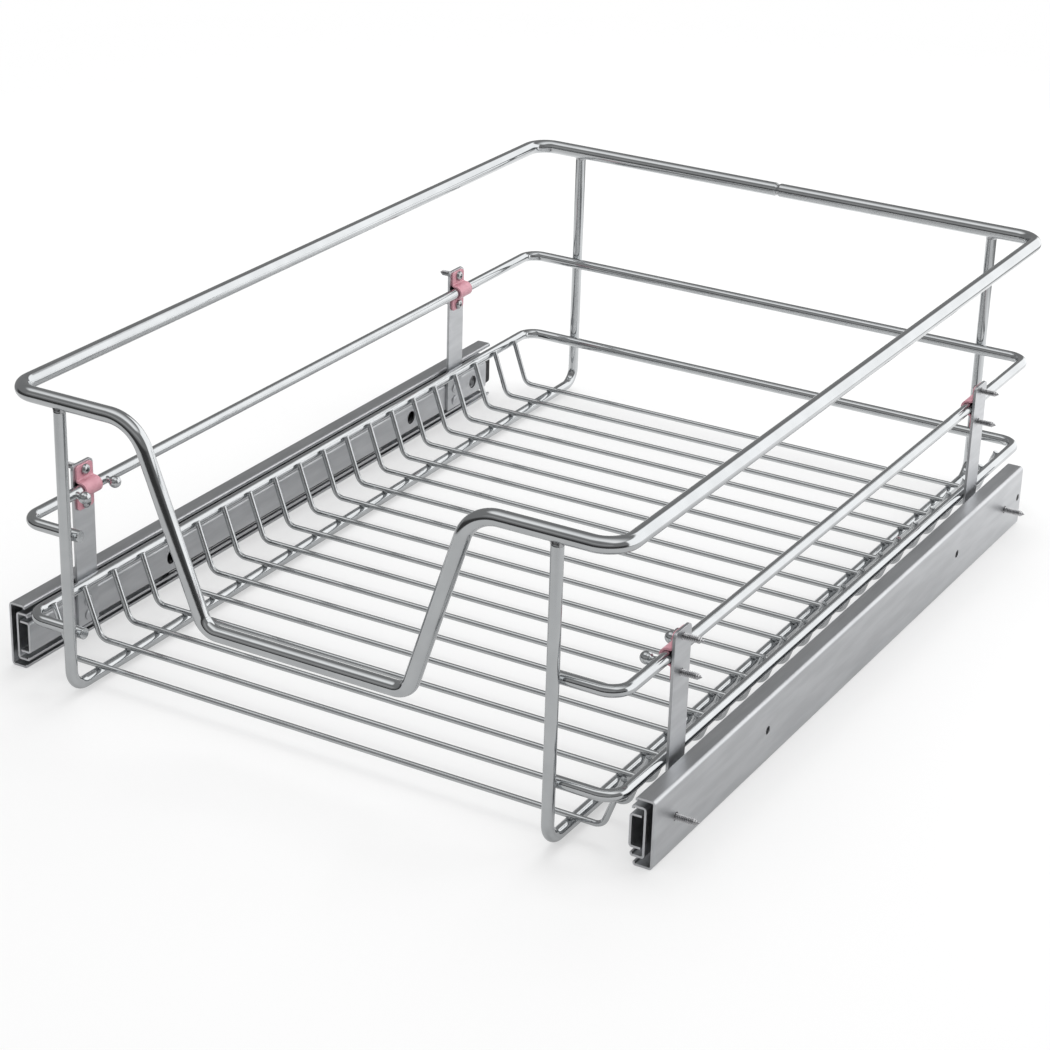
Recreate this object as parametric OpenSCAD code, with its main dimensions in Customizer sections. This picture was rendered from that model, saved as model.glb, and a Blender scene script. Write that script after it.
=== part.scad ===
// Pull-out wire basket for a kitchen base cabinet, on a pair of ball-bearing runners.
// X runs across the cabinet, Y into it (the handle is at -Y), Z is up.
// The origin lies on the cabinet floor level of the runners, midway in width and depth.

/* [Basket] */
// Width between the centres of the rim's side runs
rim_width = 328; // [280:1:420]
// Depth between the centres of the rim's front and back runs
rim_depth = 500; // [420:1:560]
// Height of the rim's centre above the centre of the bottom wires
rim_height = 151.5; // [130:0.5:200]
// Height of the middle ring's centre above the centre of the bottom wires
middle_ring_height = 81; // [70:0.5:100]
// Height of the lower ring's centre above the centre of the bottom wires
lower_ring_height = 29; // [24:0.5:36]
// Height of the bottom wires' underside above the bottom of the runners
frame_lift = 1.5; // [1:0.5:6]

/* [Wires] */
// Diameter of the rim wire
rim_wire = 8; // [6:0.5:9]
// Diameter of the wire of both rings
ring_wire = 6; // [5:0.5:7]
// Diameter of the wire of both side frames
frame_wire = 6; // [5:0.5:7]
// Diameter of the floor wires
floor_wire = 3; // [2.5:0.1:4]
// How far crossing wires melt into each other at a spot weld
weld_sink = 0.15; // [0.05:0.05:0.2]
// Thickness of the butt weld that closes the rim
butt_weld = 0.6; // [0.4:0.1:1.5]

/* [Bends] */
// Centre-line radius of the rim's corners
rim_bend = 13; // [10:1:24]
// Centre-line radius of the rings' corners
ring_bend = 10; // [8:1:16]
// Centre-line radius of the side frames' lower corners
frame_bend = 10; // [8:1:20]
// Centre-line radius of the bends at the ends of the floor wires
floor_bend = 6; // [3:0.5:8]
// Centre-line radius at the top of the handle dip
dip_top_bend = 20; // [10:1:24]
// Centre-line radius at the bottom of the handle dip
dip_low_bend = 10; // [8:1:16]

/* [Handle dip] */
// Half width of the dip at the rim
dip_top_half = 91; // [75:1:100]
// Half width of the dip at its bottom
dip_low_half = 56.5; // [40:0.5:65]
// Drop of the dip below the rim
dip_drop = 100.5; // [60:0.5:110]
// How far the bottom of the dip leans into the basket
dip_lean = 5; // [0:0.5:8]

/* [Frames and floor] */
// Distance from the rim's side run in to the side frame
frame_inset = 29.5; // [25:0.5:40]
// Length of a ring's free end past the middle of the front post
ring_tail = 4.5; // [3.5:0.5:12]
// Number of floor wires
floor_count = 20; // [16:1:24]
// Distance from the rim's front run to the first floor wire
floor_front_gap = 19.5; // [16:0.5:24]
// Distance from the rim's back run to the last floor wire
floor_back_gap = 29.25; // [22:0.25:36]
// Distance from the ring's side run in to the bend of a floor wire
floor_bend_inset = 13.5; // [11:0.5:16]
// How far a floor wire reaches past its weld on the lower ring
floor_tip = 0.8; // [0.4:0.1:1.5]

/* [Locating pins] */
// Distance from the rim's front run to the first pin
pin_front_gap = 42.5; // [38:0.5:50]
// Distance between the two pins of a side
pin_spacing = 24; // [23:0.5:30]
// Diameter of a pin's ball
pin_ball = 6.4; // [5:0.2:7]
// Diameter of a pin's stem
pin_stem = 3.2; // [2.4:0.1:3.6]
// Distance from the ring's centre to the centre of the ball
pin_reach = 7.3; // [6.8:0.1:9]
// How far a pin's flat foot melts into the ring
pin_sink = 0.03; // [0:0.01:0.06]

/* [Clips] */
// Length of a clip along the wire
clip_length = 12.6; // [10:0.1:13]
// Sheet thickness of a clip
clip_sheet = 1.2; // [1:0.1:1.5]
// Running room between a clip and the wire that it holds
clip_room = 0.1; // [0.05:0.05:0.3]
// Radius of the fillet where a clip's hump meets its plate
clip_fillet = 1; // [0.5:0.1:1.5]
// Radius of the corners of a clip's plate
clip_corner = 2; // [1:0.5:3]
// Room between a screw head and the clip's hump
clip_head_room = 0.8; // [0.3:0.1:1.5]
// Plate left past the middle of a screw hole
clip_edge = 3; // [2.9:0.1:4]
// Extra length of a clip's oval holes, across the wire
clip_slot = 0.9; // [0.6:0.1:1]

/* [Screws] */
// Outer diameter of the thread
screw_d = 3.5; // [3:0.1:3.9]
// Extra width of the screw holes in clips and brackets
screw_room = 0.1; // [0.1:0.1:0.3]
// Core diameter of the thread
screw_core = 2.5; // [2.2:0.1:2.7]
// Length of the screw under its head
screw_length = 13; // [11:0.5:13.5]
// Diameter of the head
screw_head_d = 5.8; // [5:0.1:6]
// Height of the head
screw_head_h = 2.1; // [1.6:0.1:2.4]
// Number of thread ridges
screw_ridges = 12; // [8:1:14]
// Length of the point
screw_point = 2.2; // [1.5:0.1:3]
// Width of the cross recess's arms
recess_arm = 0.9; // [0.6:0.1:1.2]
// Span of the cross recess
recess_span = 3; // [2:0.1:3.4]
// Depth of the cross recess
recess_depth = 1.2; // [0.6:0.1:1.4]

/* [Runners] */
// Distance from the rim's front run to the front end of a runner
runner_front_gap = 10; // [6:1:12]
// Distance from the rim's back run to the rear end of a runner
runner_back_gap = 40; // [34:1:46]
// Height of a runner
runner_height = 35; // [33:1:38]
// Sheet thickness of the runner's members
member_sheet = 1.2; // [1:0.1:1.4]
// Room for the screw heads between the cabinet and middle members
head_gap = 3; // [2.6:0.1:3.4]
// Room between the middle member's web and the drawer member
web_gap = 1; // [0.6:0.1:1.4]
// Depth of the drawer member's flanges, web included
drawer_flange = 6.1; // [5.6:0.1:6.6]
// Distance from the drawer member's face to the edge of the middle member
middle_edge = 0.9; // [0.5:0.1:1]
// Distance from the drawer member's face to the edge of the cabinet member
cabinet_edge = 2.6; // [2.2:0.1:2.7]
// Height of the lip that keeps the balls in
member_lip = 0.8; // [0.4:0.1:1]
// Diameter of the bearing balls
ball_d = 3; // [2.8:0.1:3.2]
// Running room of a ball on each side
ball_room = 0.1; // [0.05:0.05:0.2]
// Number of balls in a row
ball_count = 9; // [6:1:10]
// Room left at each end of a ball cage at full travel
cage_stop_room = 6.5; // [2:0.5:12]
// Thickness of a ball cage
cage_sheet = 0.6; // [0.4:0.1:0.8]
// Width of a cage's strip on each side of its balls
cage_wall = 0.5; // [0.4:0.1:0.6]
// Room between a cage and the lips beside it
cage_room = 0.1; // [0.1:0.1:0.3]
// Travel of the basket
travel = 440; // [380:5:440]
// Diameter of the screw holes in the cabinet member
mount_hole = 4.3; // [4:0.1:5]
// Diameter of the access holes in front of the screws
access_hole = 8; // [7:0.5:9]

/* [Carrier brackets] */
// Sheet thickness of a bracket
bracket_sheet = 1.5; // [1.2:0.1:2]
// Width of a bracket along the runner
bracket_width = 16; // [13:0.5:18]
// Radius of a bracket's upper corners
bracket_corner = 3; // [1:0.5:4]
// Plate left above the clip
bracket_rise = 1; // [0:0.5:3]
// Distance between a bracket's two rivets
rivet_spacing = 8; // [7.5:0.1:8.5]
// Diameter of a rivet's shank
rivet_d = 3.2; // [2.8:0.1:4]
// Diameter of a rivet's head
rivet_head_d = 6; // [5:0.1:7]
// Height of a rivet's head
rivet_head_h = 1.3; // [1:0.1:1.6]
// Diameter of a rivet's closed end
rivet_tail_d = 5; // [4.5:0.1:5.5]
// Height of a rivet's closed end
rivet_tail_h = 1.2; // [0.8:0.1:1.5]

/* [Rear bumpers] */
// Thickness of a bumper along the runner
bumper_depth = 8.7; // [6:0.1:12]
// Height of a bumper
bumper_height = 16; // [12:0.5:20]
// Radius of a bumper's corners
bumper_corner = 2; // [1:0.5:4]
// Diameter of the peg that holds a bumper
bumper_peg = 4; // [3:0.1:5]
// Gap between a bumper and the members that stop on it
bumper_gap = 0.3; // [0.3:0.1:1]

/* [Hidden] */

$fn = 48;
spare = 1; // how far a cutting shape runs past what it cuts
bend_neck = 0.01; // a bend is drawn thinner than its straight runs by this much all round,
bend_lap = 0.05; // and the runs reach this far into it, so that the two always join
head_flat = 0.6; // share of a pan head's width that is flat on top
head_wall = 0.4; // share of its height that stands upright

// Colours of the finishes
CHROME = [0.80, 0.82, 0.84];
ZINC = [0.66, 0.68, 0.70];
STEEL = [0.50, 0.52, 0.55];
PINK = [0.86, 0.63, 0.67];
RUBBER = [0.14, 0.14, 0.15];
BRASS = [0.78, 0.70, 0.48];

// Heights of the wires' centres
frame_z = frame_lift + frame_wire / 2;
rim_z = frame_z + rim_height;
middle_ring_z = frame_z + middle_ring_height;
lower_ring_z = frame_z + lower_ring_height;
floor_z = frame_z + frame_wire / 2 + floor_wire / 2 - weld_sink;
dip_z = rim_z - dip_drop;

// Plan of the wires: the outer faces of rim, rings and posts lie flush
rim_x = rim_width / 2;
rim_y = rim_depth / 2;
side_face = rim_x + rim_wire / 2;
end_face = rim_y + rim_wire / 2;
ring_x = side_face - ring_wire / 2;
post_x = rim_x - frame_inset;
post_y = end_face - frame_wire / 2;
ring_y = post_y - frame_wire / 2 - ring_wire / 2 + weld_sink;
ring_end_x = post_x - ring_tail;
post_top_z = rim_z - rim_wire / 2 + weld_sink;

// A floor wire's end rises from its bend so that it just meets the lower ring
floor_bend_x = ring_x - floor_bend_inset;
ring_touch = ring_wire / 2 + floor_wire / 2 - weld_sink;
bend_to_ring = norm([floor_bend_inset, lower_ring_z - floor_z]);
floor_rise = atan2(lower_ring_z - floor_z, floor_bend_inset) + asin(ring_touch / bend_to_ring);
floor_end = sqrt(bend_to_ring ^ 2 - ring_touch ^ 2) + floor_tip;
floor_tip_x = floor_bend_x + floor_end * cos(floor_rise);
floor_tip_z = floor_z + floor_end * sin(floor_rise);
floor_pitch = (rim_depth - floor_front_gap - floor_back_gap) / (floor_count - 1);

// Clip: hump, holes and plate
hump_inner = ring_wire / 2 + clip_room;
hump_outer = hump_inner + clip_sheet;
clip_hole_z = hump_outer + clip_fillet + clip_head_room + screw_head_d / 2;
clip_half = clip_hole_z + clip_edge;
screw_hole = screw_d + screw_room;

// Runner section: distances out from the drawer member's inner face, and half heights
bracket_face = side_face + bracket_sheet;
drawer_web = member_sheet;
middle_outer = drawer_flange + web_gap + member_sheet;
runner_thick = middle_outer + head_gap + member_sheet;
cabinet_face = bracket_face + runner_thick;
runner_z = runner_height / 2;
ball_space = ball_d + 2 * ball_room;
cabinet_half = runner_height / 2;
outer_ball_z = cabinet_half - member_sheet - ball_space / 2;
middle_half = cabinet_half - member_sheet - ball_space;
inner_ball_z = middle_half - member_sheet - ball_space / 2;
drawer_half = middle_half - member_sheet - ball_space;
cage_width = ball_space + 2 * cage_wall;
inner_ball_u = middle_edge + member_sheet + cage_room + cage_width / 2;
outer_ball_u = cabinet_edge + member_sheet + cage_room + cage_width / 2;

// Runner lengths
runner_front = -rim_y + runner_front_gap;
runner_rear = rim_y - runner_back_gap;
slider_rear = runner_rear - bumper_depth - bumper_gap;
cage_y = (runner_front + slider_rear) / 2;
cage_length = slider_rear - runner_front - travel / 2 - 2 * cage_stop_room;
ball_pitch = cage_length / ball_count;

// Screws, brackets and access holes lie in the gaps between floor wires
front_screw_y = floor_gap_y(0);
front_mount_y = floor_gap_y(4);
rear_mount_y = floor_gap_y(floor_count - 6);
rear_bracket_y = floor_gap_y(floor_count - 4);
rear_screw_y = floor_gap_y(floor_count - 3);
front_bracket_y = -rim_y + pin_front_gap + pin_spacing / 2;
bracket_top = middle_ring_z + clip_half + bracket_rise;
bracket_foot = runner_z - drawer_half;

function floor_wire_y(k) = -rim_y + floor_front_gap + floor_pitch * k;
function floor_gap_y(k) = floor_wire_y(k + 0.5);

// ---- Bent wires ----

function unit(v) = v / norm(v);
function heading(p, i) = unit(p[i + 1] - p[i]);
function turn(p, i) = acos(heading(p, i - 1) * heading(p, i));
function is_end(p, i) = i == 0 || i == len(p) - 1;
function bend_length(p, r, i) = r[i] * tan(turn(p, i) / 2);
function trim(p, r, i) = is_end(p, i) ? 0 : bend_length(p, r, i) - bend_lap;

// A round rod from a to b
module rod(a, b, d) {
    v = b - a;
    translate(a)
        rotate([0, acos(v[2] / norm(v)), atan2(v[1], v[0])])
            cylinder(h = norm(v), d = d);
}

// The bend at corner i of the path p: a piece of torus between its two runs
module bend(p, r, d, i) {
    u = heading(p, i - 1);
    n = unit(heading(p, i) - u * (u * heading(p, i)));
    axis = cross(u, n);
    centre = p[i] - u * bend_length(p, r, i) + n * r[i];
    multmatrix([
        [-n[0], u[0], axis[0], centre[0]],
        [-n[1], u[1], axis[1], centre[1]],
        [-n[2], u[2], axis[2], centre[2]],
        [0, 0, 0, 1]
    ])
        rotate_extrude(angle = turn(p, i)) translate([r[i], 0]) circle(r = d / 2 - bend_neck);
}

// A wire of diameter d along the corners p, bent with radius r[i] at corner i
module wire(p, r, d) {
    for (i = [0:len(p) - 2])
        rod(p[i] + heading(p, i) * trim(p, r, i), p[i + 1] - heading(p, i) * trim(p, r, i + 1), d);
    for (i = [1:len(p) - 2]) bend(p, r, d, i);
}

// Children as drawn for the right-hand side, or mirrored to the left
module on_side(side) {
    mirror([side == "left" ? 1 : 0, 0, 0]) children();
}

// ---- Basket wires ----

// The rim is one wire that starts and ends at the middle of the back run
module top_rim() {
    weld = butt_weld / 2;
    color(CHROME)
        wire([
            [-weld, rim_y, rim_z], [-rim_x, rim_y, rim_z], [-rim_x, -rim_y, rim_z],
            [-dip_top_half, -rim_y, rim_z], [-dip_low_half, -rim_y + dip_lean, dip_z],
            [dip_low_half, -rim_y + dip_lean, dip_z], [dip_top_half, -rim_y, rim_z],
            [rim_x, -rim_y, rim_z], [rim_x, rim_y, rim_z], [weld, rim_y, rim_z]
        ], [0, rim_bend, rim_bend, dip_top_bend, dip_low_bend,
            dip_low_bend, dip_top_bend, rim_bend, rim_bend, 0], rim_wire);
}

// Butt weld between the rim wire's two ends
module rim_butt_weld() {
    color(CHROME)
        rod([-butt_weld / 2, rim_y, rim_z], [butt_weld / 2, rim_y, rim_z], rim_wire);
}

// A ring runs round back and sides and turns in behind the front posts
module ring(z) {
    color(CHROME)
        wire([
            [-ring_end_x, -ring_y, z], [-ring_x, -ring_y, z], [-ring_x, ring_y, z],
            [ring_x, ring_y, z], [ring_x, -ring_y, z], [ring_end_x, -ring_y, z]
        ], [0, ring_bend, ring_bend, ring_bend, ring_bend, 0], ring_wire);
}

// A side frame is one wire: front post, bottom run and back post
module side_frame(side) {
    on_side(side) color(CHROME)
        wire([
            [post_x, -post_y, post_top_z], [post_x, -post_y, frame_z],
            [post_x, post_y, frame_z], [post_x, post_y, post_top_z]
        ], [0, frame_bend, frame_bend, 0], frame_wire);
}

// Floor wire k, counted from the handle: it lies on the side frames, its ends turned up
module floor_wire_at(k) {
    y = floor_wire_y(k);
    color(CHROME)
        wire([
            [-floor_tip_x, y, floor_tip_z], [-floor_bend_x, y, floor_z],
            [floor_bend_x, y, floor_z], [floor_tip_x, y, floor_tip_z]
        ], [0, floor_bend, floor_bend, 0], floor_wire);
}

// Two ball-ended pins on the inside of the middle ring
module locating_pins(side) {
    on_side(side) color(CHROME)
        for (step = [0, 1])
            translate([ring_x, -rim_y + pin_front_gap + step * pin_spacing, middle_ring_z])
                rotate([0, -90, 0]) {
                    translate([0, 0, ring_wire / 2 - pin_sink])
                        cylinder(h = pin_reach - ring_wire / 2 + pin_sink, d = pin_stem);
                    translate([0, 0, pin_reach]) sphere(d = pin_ball);
                }
}

// ---- Clips, screws and brackets ----

// Section of a clip: a hump over the wire at the origin, its plate on the line x = 0,
// drawn with the plate's length along y
module clip_section() {
    seat = ring_wire / 2;
    difference() {
        union() {
            translate([-seat, 0]) circle(r = hump_outer);
            translate([-seat, -hump_outer]) square([seat, 2 * hump_outer]);
            translate([-clip_sheet, -clip_half]) square([clip_sheet, 2 * clip_half]);
            for (s = [-1, 1])
                clip_root(s);
        }
        translate([-seat, 0]) circle(r = hump_inner);
        translate([-seat, -hump_inner]) square([seat + spare, 2 * hump_inner]);
    }
}

// Fillet between the hump and the plate
module clip_root(s) {
    difference() {
        translate([-clip_sheet - clip_fillet, s > 0 ? hump_outer : -hump_outer - clip_fillet])
            square(clip_fillet);
        translate([-clip_sheet - clip_fillet, s * (hump_outer + clip_fillet)]) circle(r = clip_fillet);
    }
}

// Outline of a clip's plate with rounded corners, as a block that trims the section
module clip_outline() {
    depth = 2 * (hump_outer + ring_wire);
    half_l = clip_length / 2;
    rotate([0, -90, 0]) translate([0, 0, -spare]) linear_extrude(depth) {
        square([2 * clip_half, clip_length - 2 * clip_corner], center = true);
        square([2 * (clip_half - clip_corner), clip_length], center = true);
        for (sx = [-1, 1], sy = [-1, 1])
            translate([sx * (clip_half - clip_corner), sy * (half_l - clip_corner)])
                circle(r = clip_corner);
    }
}

// An oval hole through the plate, long across the wire
module clip_hole(z) {
    reach = clip_sheet + 2 * spare;
    for (s = [-1, 1])
        translate([spare, 0, z + s * clip_slot / 2]) rotate([0, -90, 0]) cylinder(h = reach, d = screw_hole);
    translate([spare - reach, -screw_hole / 2, z - clip_slot / 2]) cube([reach, screw_hole, clip_slot]);
}

// A saddle clip over the middle ring at depth y, its plate on the bracket's inner face
module clip(side, y) {
    on_side(side) color(PINK)
        translate([side_face, y, middle_ring_z])
            difference() {
                intersection() {
                    rotate([90, 0, 0]) translate([0, 0, -clip_length / 2])
                        linear_extrude(clip_length) clip_section();
                    clip_outline();
                }
                for (s = [-1, 1]) clip_hole(s * clip_hole_z);
            }
}

// A pan-head screw along +X with the underside of its head at the origin
module screw() {
    thread = screw_length - screw_point;
    pitch = thread / screw_ridges;
    crest_at = 0.5; // where in a pitch the ridge is highest
    root_at = 0.95; // and where it has come back down to the core
    difference() {
        rotate([0, 90, 0]) rotate_extrude() polygon(concat(
            [[0, -screw_head_h], [screw_head_d / 2 * head_flat, -screw_head_h],
             [screw_head_d / 2, -screw_head_h * head_wall], [screw_head_d / 2, 0], [screw_core / 2, 0]],
            [for (k = [0:screw_ridges - 1], p = [[screw_d / 2, crest_at], [screw_core / 2, root_at]])
                [p[0], (k + p[1]) * pitch]],
            [[0, screw_length]]));
        for (turned = [0, 90])
            rotate([turned, 0, 0])
                translate([-screw_head_h - spare, -recess_arm / 2, -recess_span / 2])
                    cube([recess_depth + spare, recess_arm, recess_span]);
    }
}

// The eight screws that hold the clips
module clip_screws() {
    color(ZINC)
        for (side = ["left", "right"], y = [front_bracket_y, rear_bracket_y], s = [-1, 1])
            on_side(side)
                translate([side_face - clip_sheet, y, middle_ring_z + s * clip_hole_z]) screw();
}

// A flat bracket from the drawer member up to the middle ring, outside both rings
module bracket(side, y) {
    height = bracket_top - bracket_foot;
    on_side(side) color(ZINC)
        translate([side_face, y, bracket_foot])
            difference() {
                union() {
                    translate([0, -bracket_width / 2, 0])
                        cube([bracket_sheet, bracket_width, height - bracket_corner]);
                    translate([0, -bracket_width / 2 + bracket_corner, 0])
                        cube([bracket_sheet, bracket_width - 2 * bracket_corner, height]);
                    for (s = [-1, 1])
                        translate([0, s * (bracket_width / 2 - bracket_corner), height - bracket_corner])
                            rotate([0, 90, 0]) cylinder(h = bracket_sheet, r = bracket_corner);
                }
                for (s = [-1, 1]) {
                    cross_hole(middle_ring_z - bracket_foot + s * clip_hole_z, screw_hole);
                    cross_hole(runner_z - bracket_foot + s * rivet_spacing / 2, rivet_d);
                }
            }
}

// A hole along X through thin sheet at the origin, at height z
module cross_hole(z, d) {
    translate([-spare, 0, z]) rotate([0, 90, 0]) cylinder(h = 2 * spare + bracket_sheet, d = d);
}

// The eight rivets that join the brackets to the drawer members
module bracket_rivets() {
    grip = bracket_sheet + member_sheet;
    color(ZINC)
        for (side = ["left", "right"], y = [front_bracket_y, rear_bracket_y], s = [-1, 1])
            on_side(side)
                translate([side_face, y, runner_z + s * rivet_spacing / 2]) rotate([0, 90, 0])
                    rotate_extrude() polygon([
                        [0, -rivet_head_h], [rivet_head_d / 2 * head_flat, -rivet_head_h],
                        [rivet_head_d / 2, -rivet_head_h * head_wall], [rivet_head_d / 2, 0],
                        [rivet_d / 2, 0], [rivet_d / 2, grip], [rivet_tail_d / 2, grip],
                        [rivet_tail_d / 2, grip + rivet_tail_h * head_wall],
                        [rivet_tail_d / 2 * head_flat, grip + rivet_tail_h], [0, grip + rivet_tail_h]
                    ]);
}

// ---- Ball-bearing runners ----

// A length of section along Y on the right-hand side: x counts out from the drawer member's
// inner face and y up from the runner's middle
module along_runner(front, rear) {
    translate([bracket_face, rear, runner_z]) rotate([90, 0, 0]) linear_extrude(rear - front) children();
}

// A round hole through a member's web
module web_hole(u, y, d) {
    translate([bracket_face + u - spare, y, runner_z]) rotate([0, 90, 0])
        cylinder(h = member_sheet + 2 * spare, d = d);
}

// A channel that opens towards the basket, with lips on the edges of its flanges
module lipped_channel(edge, outer, half) {
    t = member_sheet;
    difference() {
        translate([edge, -half]) square([outer - edge, 2 * half]);
        translate([edge + t, -half + t]) square([outer - edge - 2 * t, 2 * (half - t)]);
        translate([edge - spare, -half + t + member_lip])
            square([t + 2 * spare, 2 * (half - t - member_lip)]);
    }
}

// The member that is screwed to the cabinet's side
module cabinet_member(side) {
    web = runner_thick - member_sheet;
    on_side(side) color(ZINC)
        difference() {
            along_runner(runner_front, runner_rear)
                lipped_channel(cabinet_edge, runner_thick, cabinet_half);
            for (y = [front_screw_y, front_mount_y, rear_mount_y, rear_screw_y])
                web_hole(web, y, mount_hole);
            web_hole(web, (slider_rear + runner_rear) / 2, bumper_peg);
        }
}

// The member that runs between the other two
module middle_member(side) {
    on_side(side) color(ZINC)
        difference() {
            along_runner(runner_front, slider_rear)
                lipped_channel(middle_edge, middle_outer, middle_half);
            for (y = [front_screw_y, front_mount_y, rear_mount_y, rear_screw_y])
                web_hole(middle_outer - member_sheet, y, access_hole);
        }
}

// The member that carries the basket, a channel that opens away from it
module drawer_member(side) {
    t = member_sheet;
    on_side(side) color(ZINC)
        difference() {
            along_runner(runner_front, slider_rear)
                difference() {
                    translate([0, -drawer_half]) square([drawer_flange, 2 * drawer_half]);
                    translate([drawer_web, -drawer_half + t])
                        square([drawer_flange, 2 * (drawer_half - t)]);
                }
            for (y = [front_screw_y, front_mount_y, rear_mount_y, rear_screw_y])
                web_hole(0, y, access_hole);
            for (y = [front_bracket_y, rear_bracket_y], s = [-1, 1])
                translate([0, 0, s * rivet_spacing / 2]) web_hole(0, y, rivet_d);
        }
}

// Places its children at every ball of both rows of a side
module at_balls(u, half) {
    for (s = [-1, 1], k = [0:ball_count - 1])
        translate([bracket_face + u, cage_y + (k - (ball_count - 1) / 2) * ball_pitch, runner_z + s * half])
            children();
}

module balls(side, u, half) {
    on_side(side) color(STEEL) at_balls(u, half) sphere(d = ball_d);
}

// Two flat strips that space the balls of the upper and lower rows
module cage(side, u, half) {
    on_side(side) color(BRASS)
        difference() {
            for (s = [-1, 1])
                translate([bracket_face + u - cage_width / 2, cage_y - cage_length / 2,
                           runner_z + s * half - cage_sheet / 2])
                    cube([cage_width, cage_length, cage_sheet]);
            at_balls(u, half) translate([0, 0, -spare]) cylinder(h = 2 * spare, d = ball_space);
        }
}

// A rubber stop in the rear end of the cabinet member, held by a peg through the web
module rear_bumper(side) {
    web = bracket_face + runner_thick - member_sheet;
    length = web - bracket_face - cabinet_edge;
    half_d = bumper_depth / 2;
    half_h = bumper_height / 2;
    on_side(side) color(RUBBER)
        translate([web, runner_rear - half_d, runner_z]) {
            rotate([0, -90, 0]) linear_extrude(length) {
                square([bumper_height - 2 * bumper_corner, bumper_depth], center = true);
                square([bumper_height, bumper_depth - 2 * bumper_corner], center = true);
                for (sx = [-1, 1], sy = [-1, 1])
                    translate([sx * (half_h - bumper_corner), sy * (half_d - bumper_corner)])
                        circle(r = bumper_corner);
            }
            rotate([0, 90, 0]) translate([0, 0, -spare]) cylinder(h = member_sheet + spare, d = bumper_peg);
        }
}

// The four screws that hold the cabinet members
module runner_screws() {
    color(ZINC)
        for (side = ["left", "right"], y = [front_screw_y, rear_screw_y])
            on_side(side)
                translate([cabinet_face - member_sheet, y, runner_z]) screw();
}

top_rim();
rim_butt_weld();
ring(middle_ring_z);  // middle_ring
ring(lower_ring_z);  // lower_ring
side_frame("left");  // left_side_frame
side_frame("right");  // right_side_frame
floor_wire_at(0);  // floor_wire_01
floor_wire_at(1);  // floor_wire_02
floor_wire_at(2);  // floor_wire_03
floor_wire_at(3);  // floor_wire_04
floor_wire_at(4);  // floor_wire_05
floor_wire_at(5);  // floor_wire_06
floor_wire_at(6);  // floor_wire_07
floor_wire_at(7);  // floor_wire_08
floor_wire_at(8);  // floor_wire_09
floor_wire_at(9);  // floor_wire_10
floor_wire_at(10);  // floor_wire_11
floor_wire_at(11);  // floor_wire_12
floor_wire_at(12);  // floor_wire_13
floor_wire_at(13);  // floor_wire_14
floor_wire_at(14);  // floor_wire_15
floor_wire_at(15);  // floor_wire_16
floor_wire_at(16);  // floor_wire_17
floor_wire_at(17);  // floor_wire_18
floor_wire_at(18);  // floor_wire_19
floor_wire_at(19);  // floor_wire_20
locating_pins("left");  // left_locating_pins
locating_pins("right");  // right_locating_pins
clip("left", front_bracket_y);  // front_left_clip
clip("right", front_bracket_y);  // front_right_clip
clip("left", rear_bracket_y);  // rear_left_clip
clip("right", rear_bracket_y);  // rear_right_clip
clip_screws();
bracket("left", front_bracket_y);  // front_left_bracket
bracket("right", front_bracket_y);  // front_right_bracket
bracket("left", rear_bracket_y);  // rear_left_bracket
bracket("right", rear_bracket_y);  // rear_right_bracket
bracket_rivets();
drawer_member("left");  // left_drawer_member
drawer_member("right");  // right_drawer_member
middle_member("left");  // left_middle_member
middle_member("right");  // right_middle_member
cabinet_member("left");  // left_cabinet_member
cabinet_member("right");  // right_cabinet_member
balls("left", inner_ball_u, inner_ball_z);  // left_inner_balls
balls("right", inner_ball_u, inner_ball_z);  // right_inner_balls
balls("left", outer_ball_u, outer_ball_z);  // left_outer_balls
balls("right", outer_ball_u, outer_ball_z);  // right_outer_balls
cage("left", inner_ball_u, inner_ball_z);  // left_inner_cage
cage("right", inner_ball_u, inner_ball_z);  // right_inner_cage
cage("left", outer_ball_u, outer_ball_z);  // left_outer_cage
cage("right", outer_ball_u, outer_ball_z);  // right_outer_cage
rear_bumper("left");  // left_rear_bumper
rear_bumper("right");  // right_rear_bumper
runner_screws();
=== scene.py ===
# %% [markdown]
# # A pull-out wire basket for a kitchen base cabinet
# The basket is welded up from bent, chrome-plated steel wire. Four pink saddle clips hold its
# middle ring to brackets on a pair of ball-bearing runners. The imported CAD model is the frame
# that everything here is fitted round: it says where each piece is and what moves with what.
# In Blender a mesh, a lamp or a camera is only data. It shows once an object holds it and a
# collection holds the object, which `show` does.

# %% Load the frame
import bmesh
import bpy
import math
from mathutils import Matrix, Vector


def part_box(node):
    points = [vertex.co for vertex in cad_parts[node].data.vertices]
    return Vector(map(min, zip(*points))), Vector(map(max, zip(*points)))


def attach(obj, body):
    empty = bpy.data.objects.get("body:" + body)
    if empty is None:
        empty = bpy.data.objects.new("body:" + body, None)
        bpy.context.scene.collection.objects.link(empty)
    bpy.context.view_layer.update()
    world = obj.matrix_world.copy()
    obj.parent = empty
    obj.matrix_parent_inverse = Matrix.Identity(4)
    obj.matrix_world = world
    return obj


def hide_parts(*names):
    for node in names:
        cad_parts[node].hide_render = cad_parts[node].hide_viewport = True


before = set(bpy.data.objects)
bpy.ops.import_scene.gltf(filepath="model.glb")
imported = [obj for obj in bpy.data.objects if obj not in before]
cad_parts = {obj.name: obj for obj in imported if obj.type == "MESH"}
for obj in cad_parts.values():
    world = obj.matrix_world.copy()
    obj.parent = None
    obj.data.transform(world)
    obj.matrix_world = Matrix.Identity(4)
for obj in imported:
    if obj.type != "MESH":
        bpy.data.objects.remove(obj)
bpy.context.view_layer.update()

MM = 0.001
SIDES = (("left", -1), ("right", 1))


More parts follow.
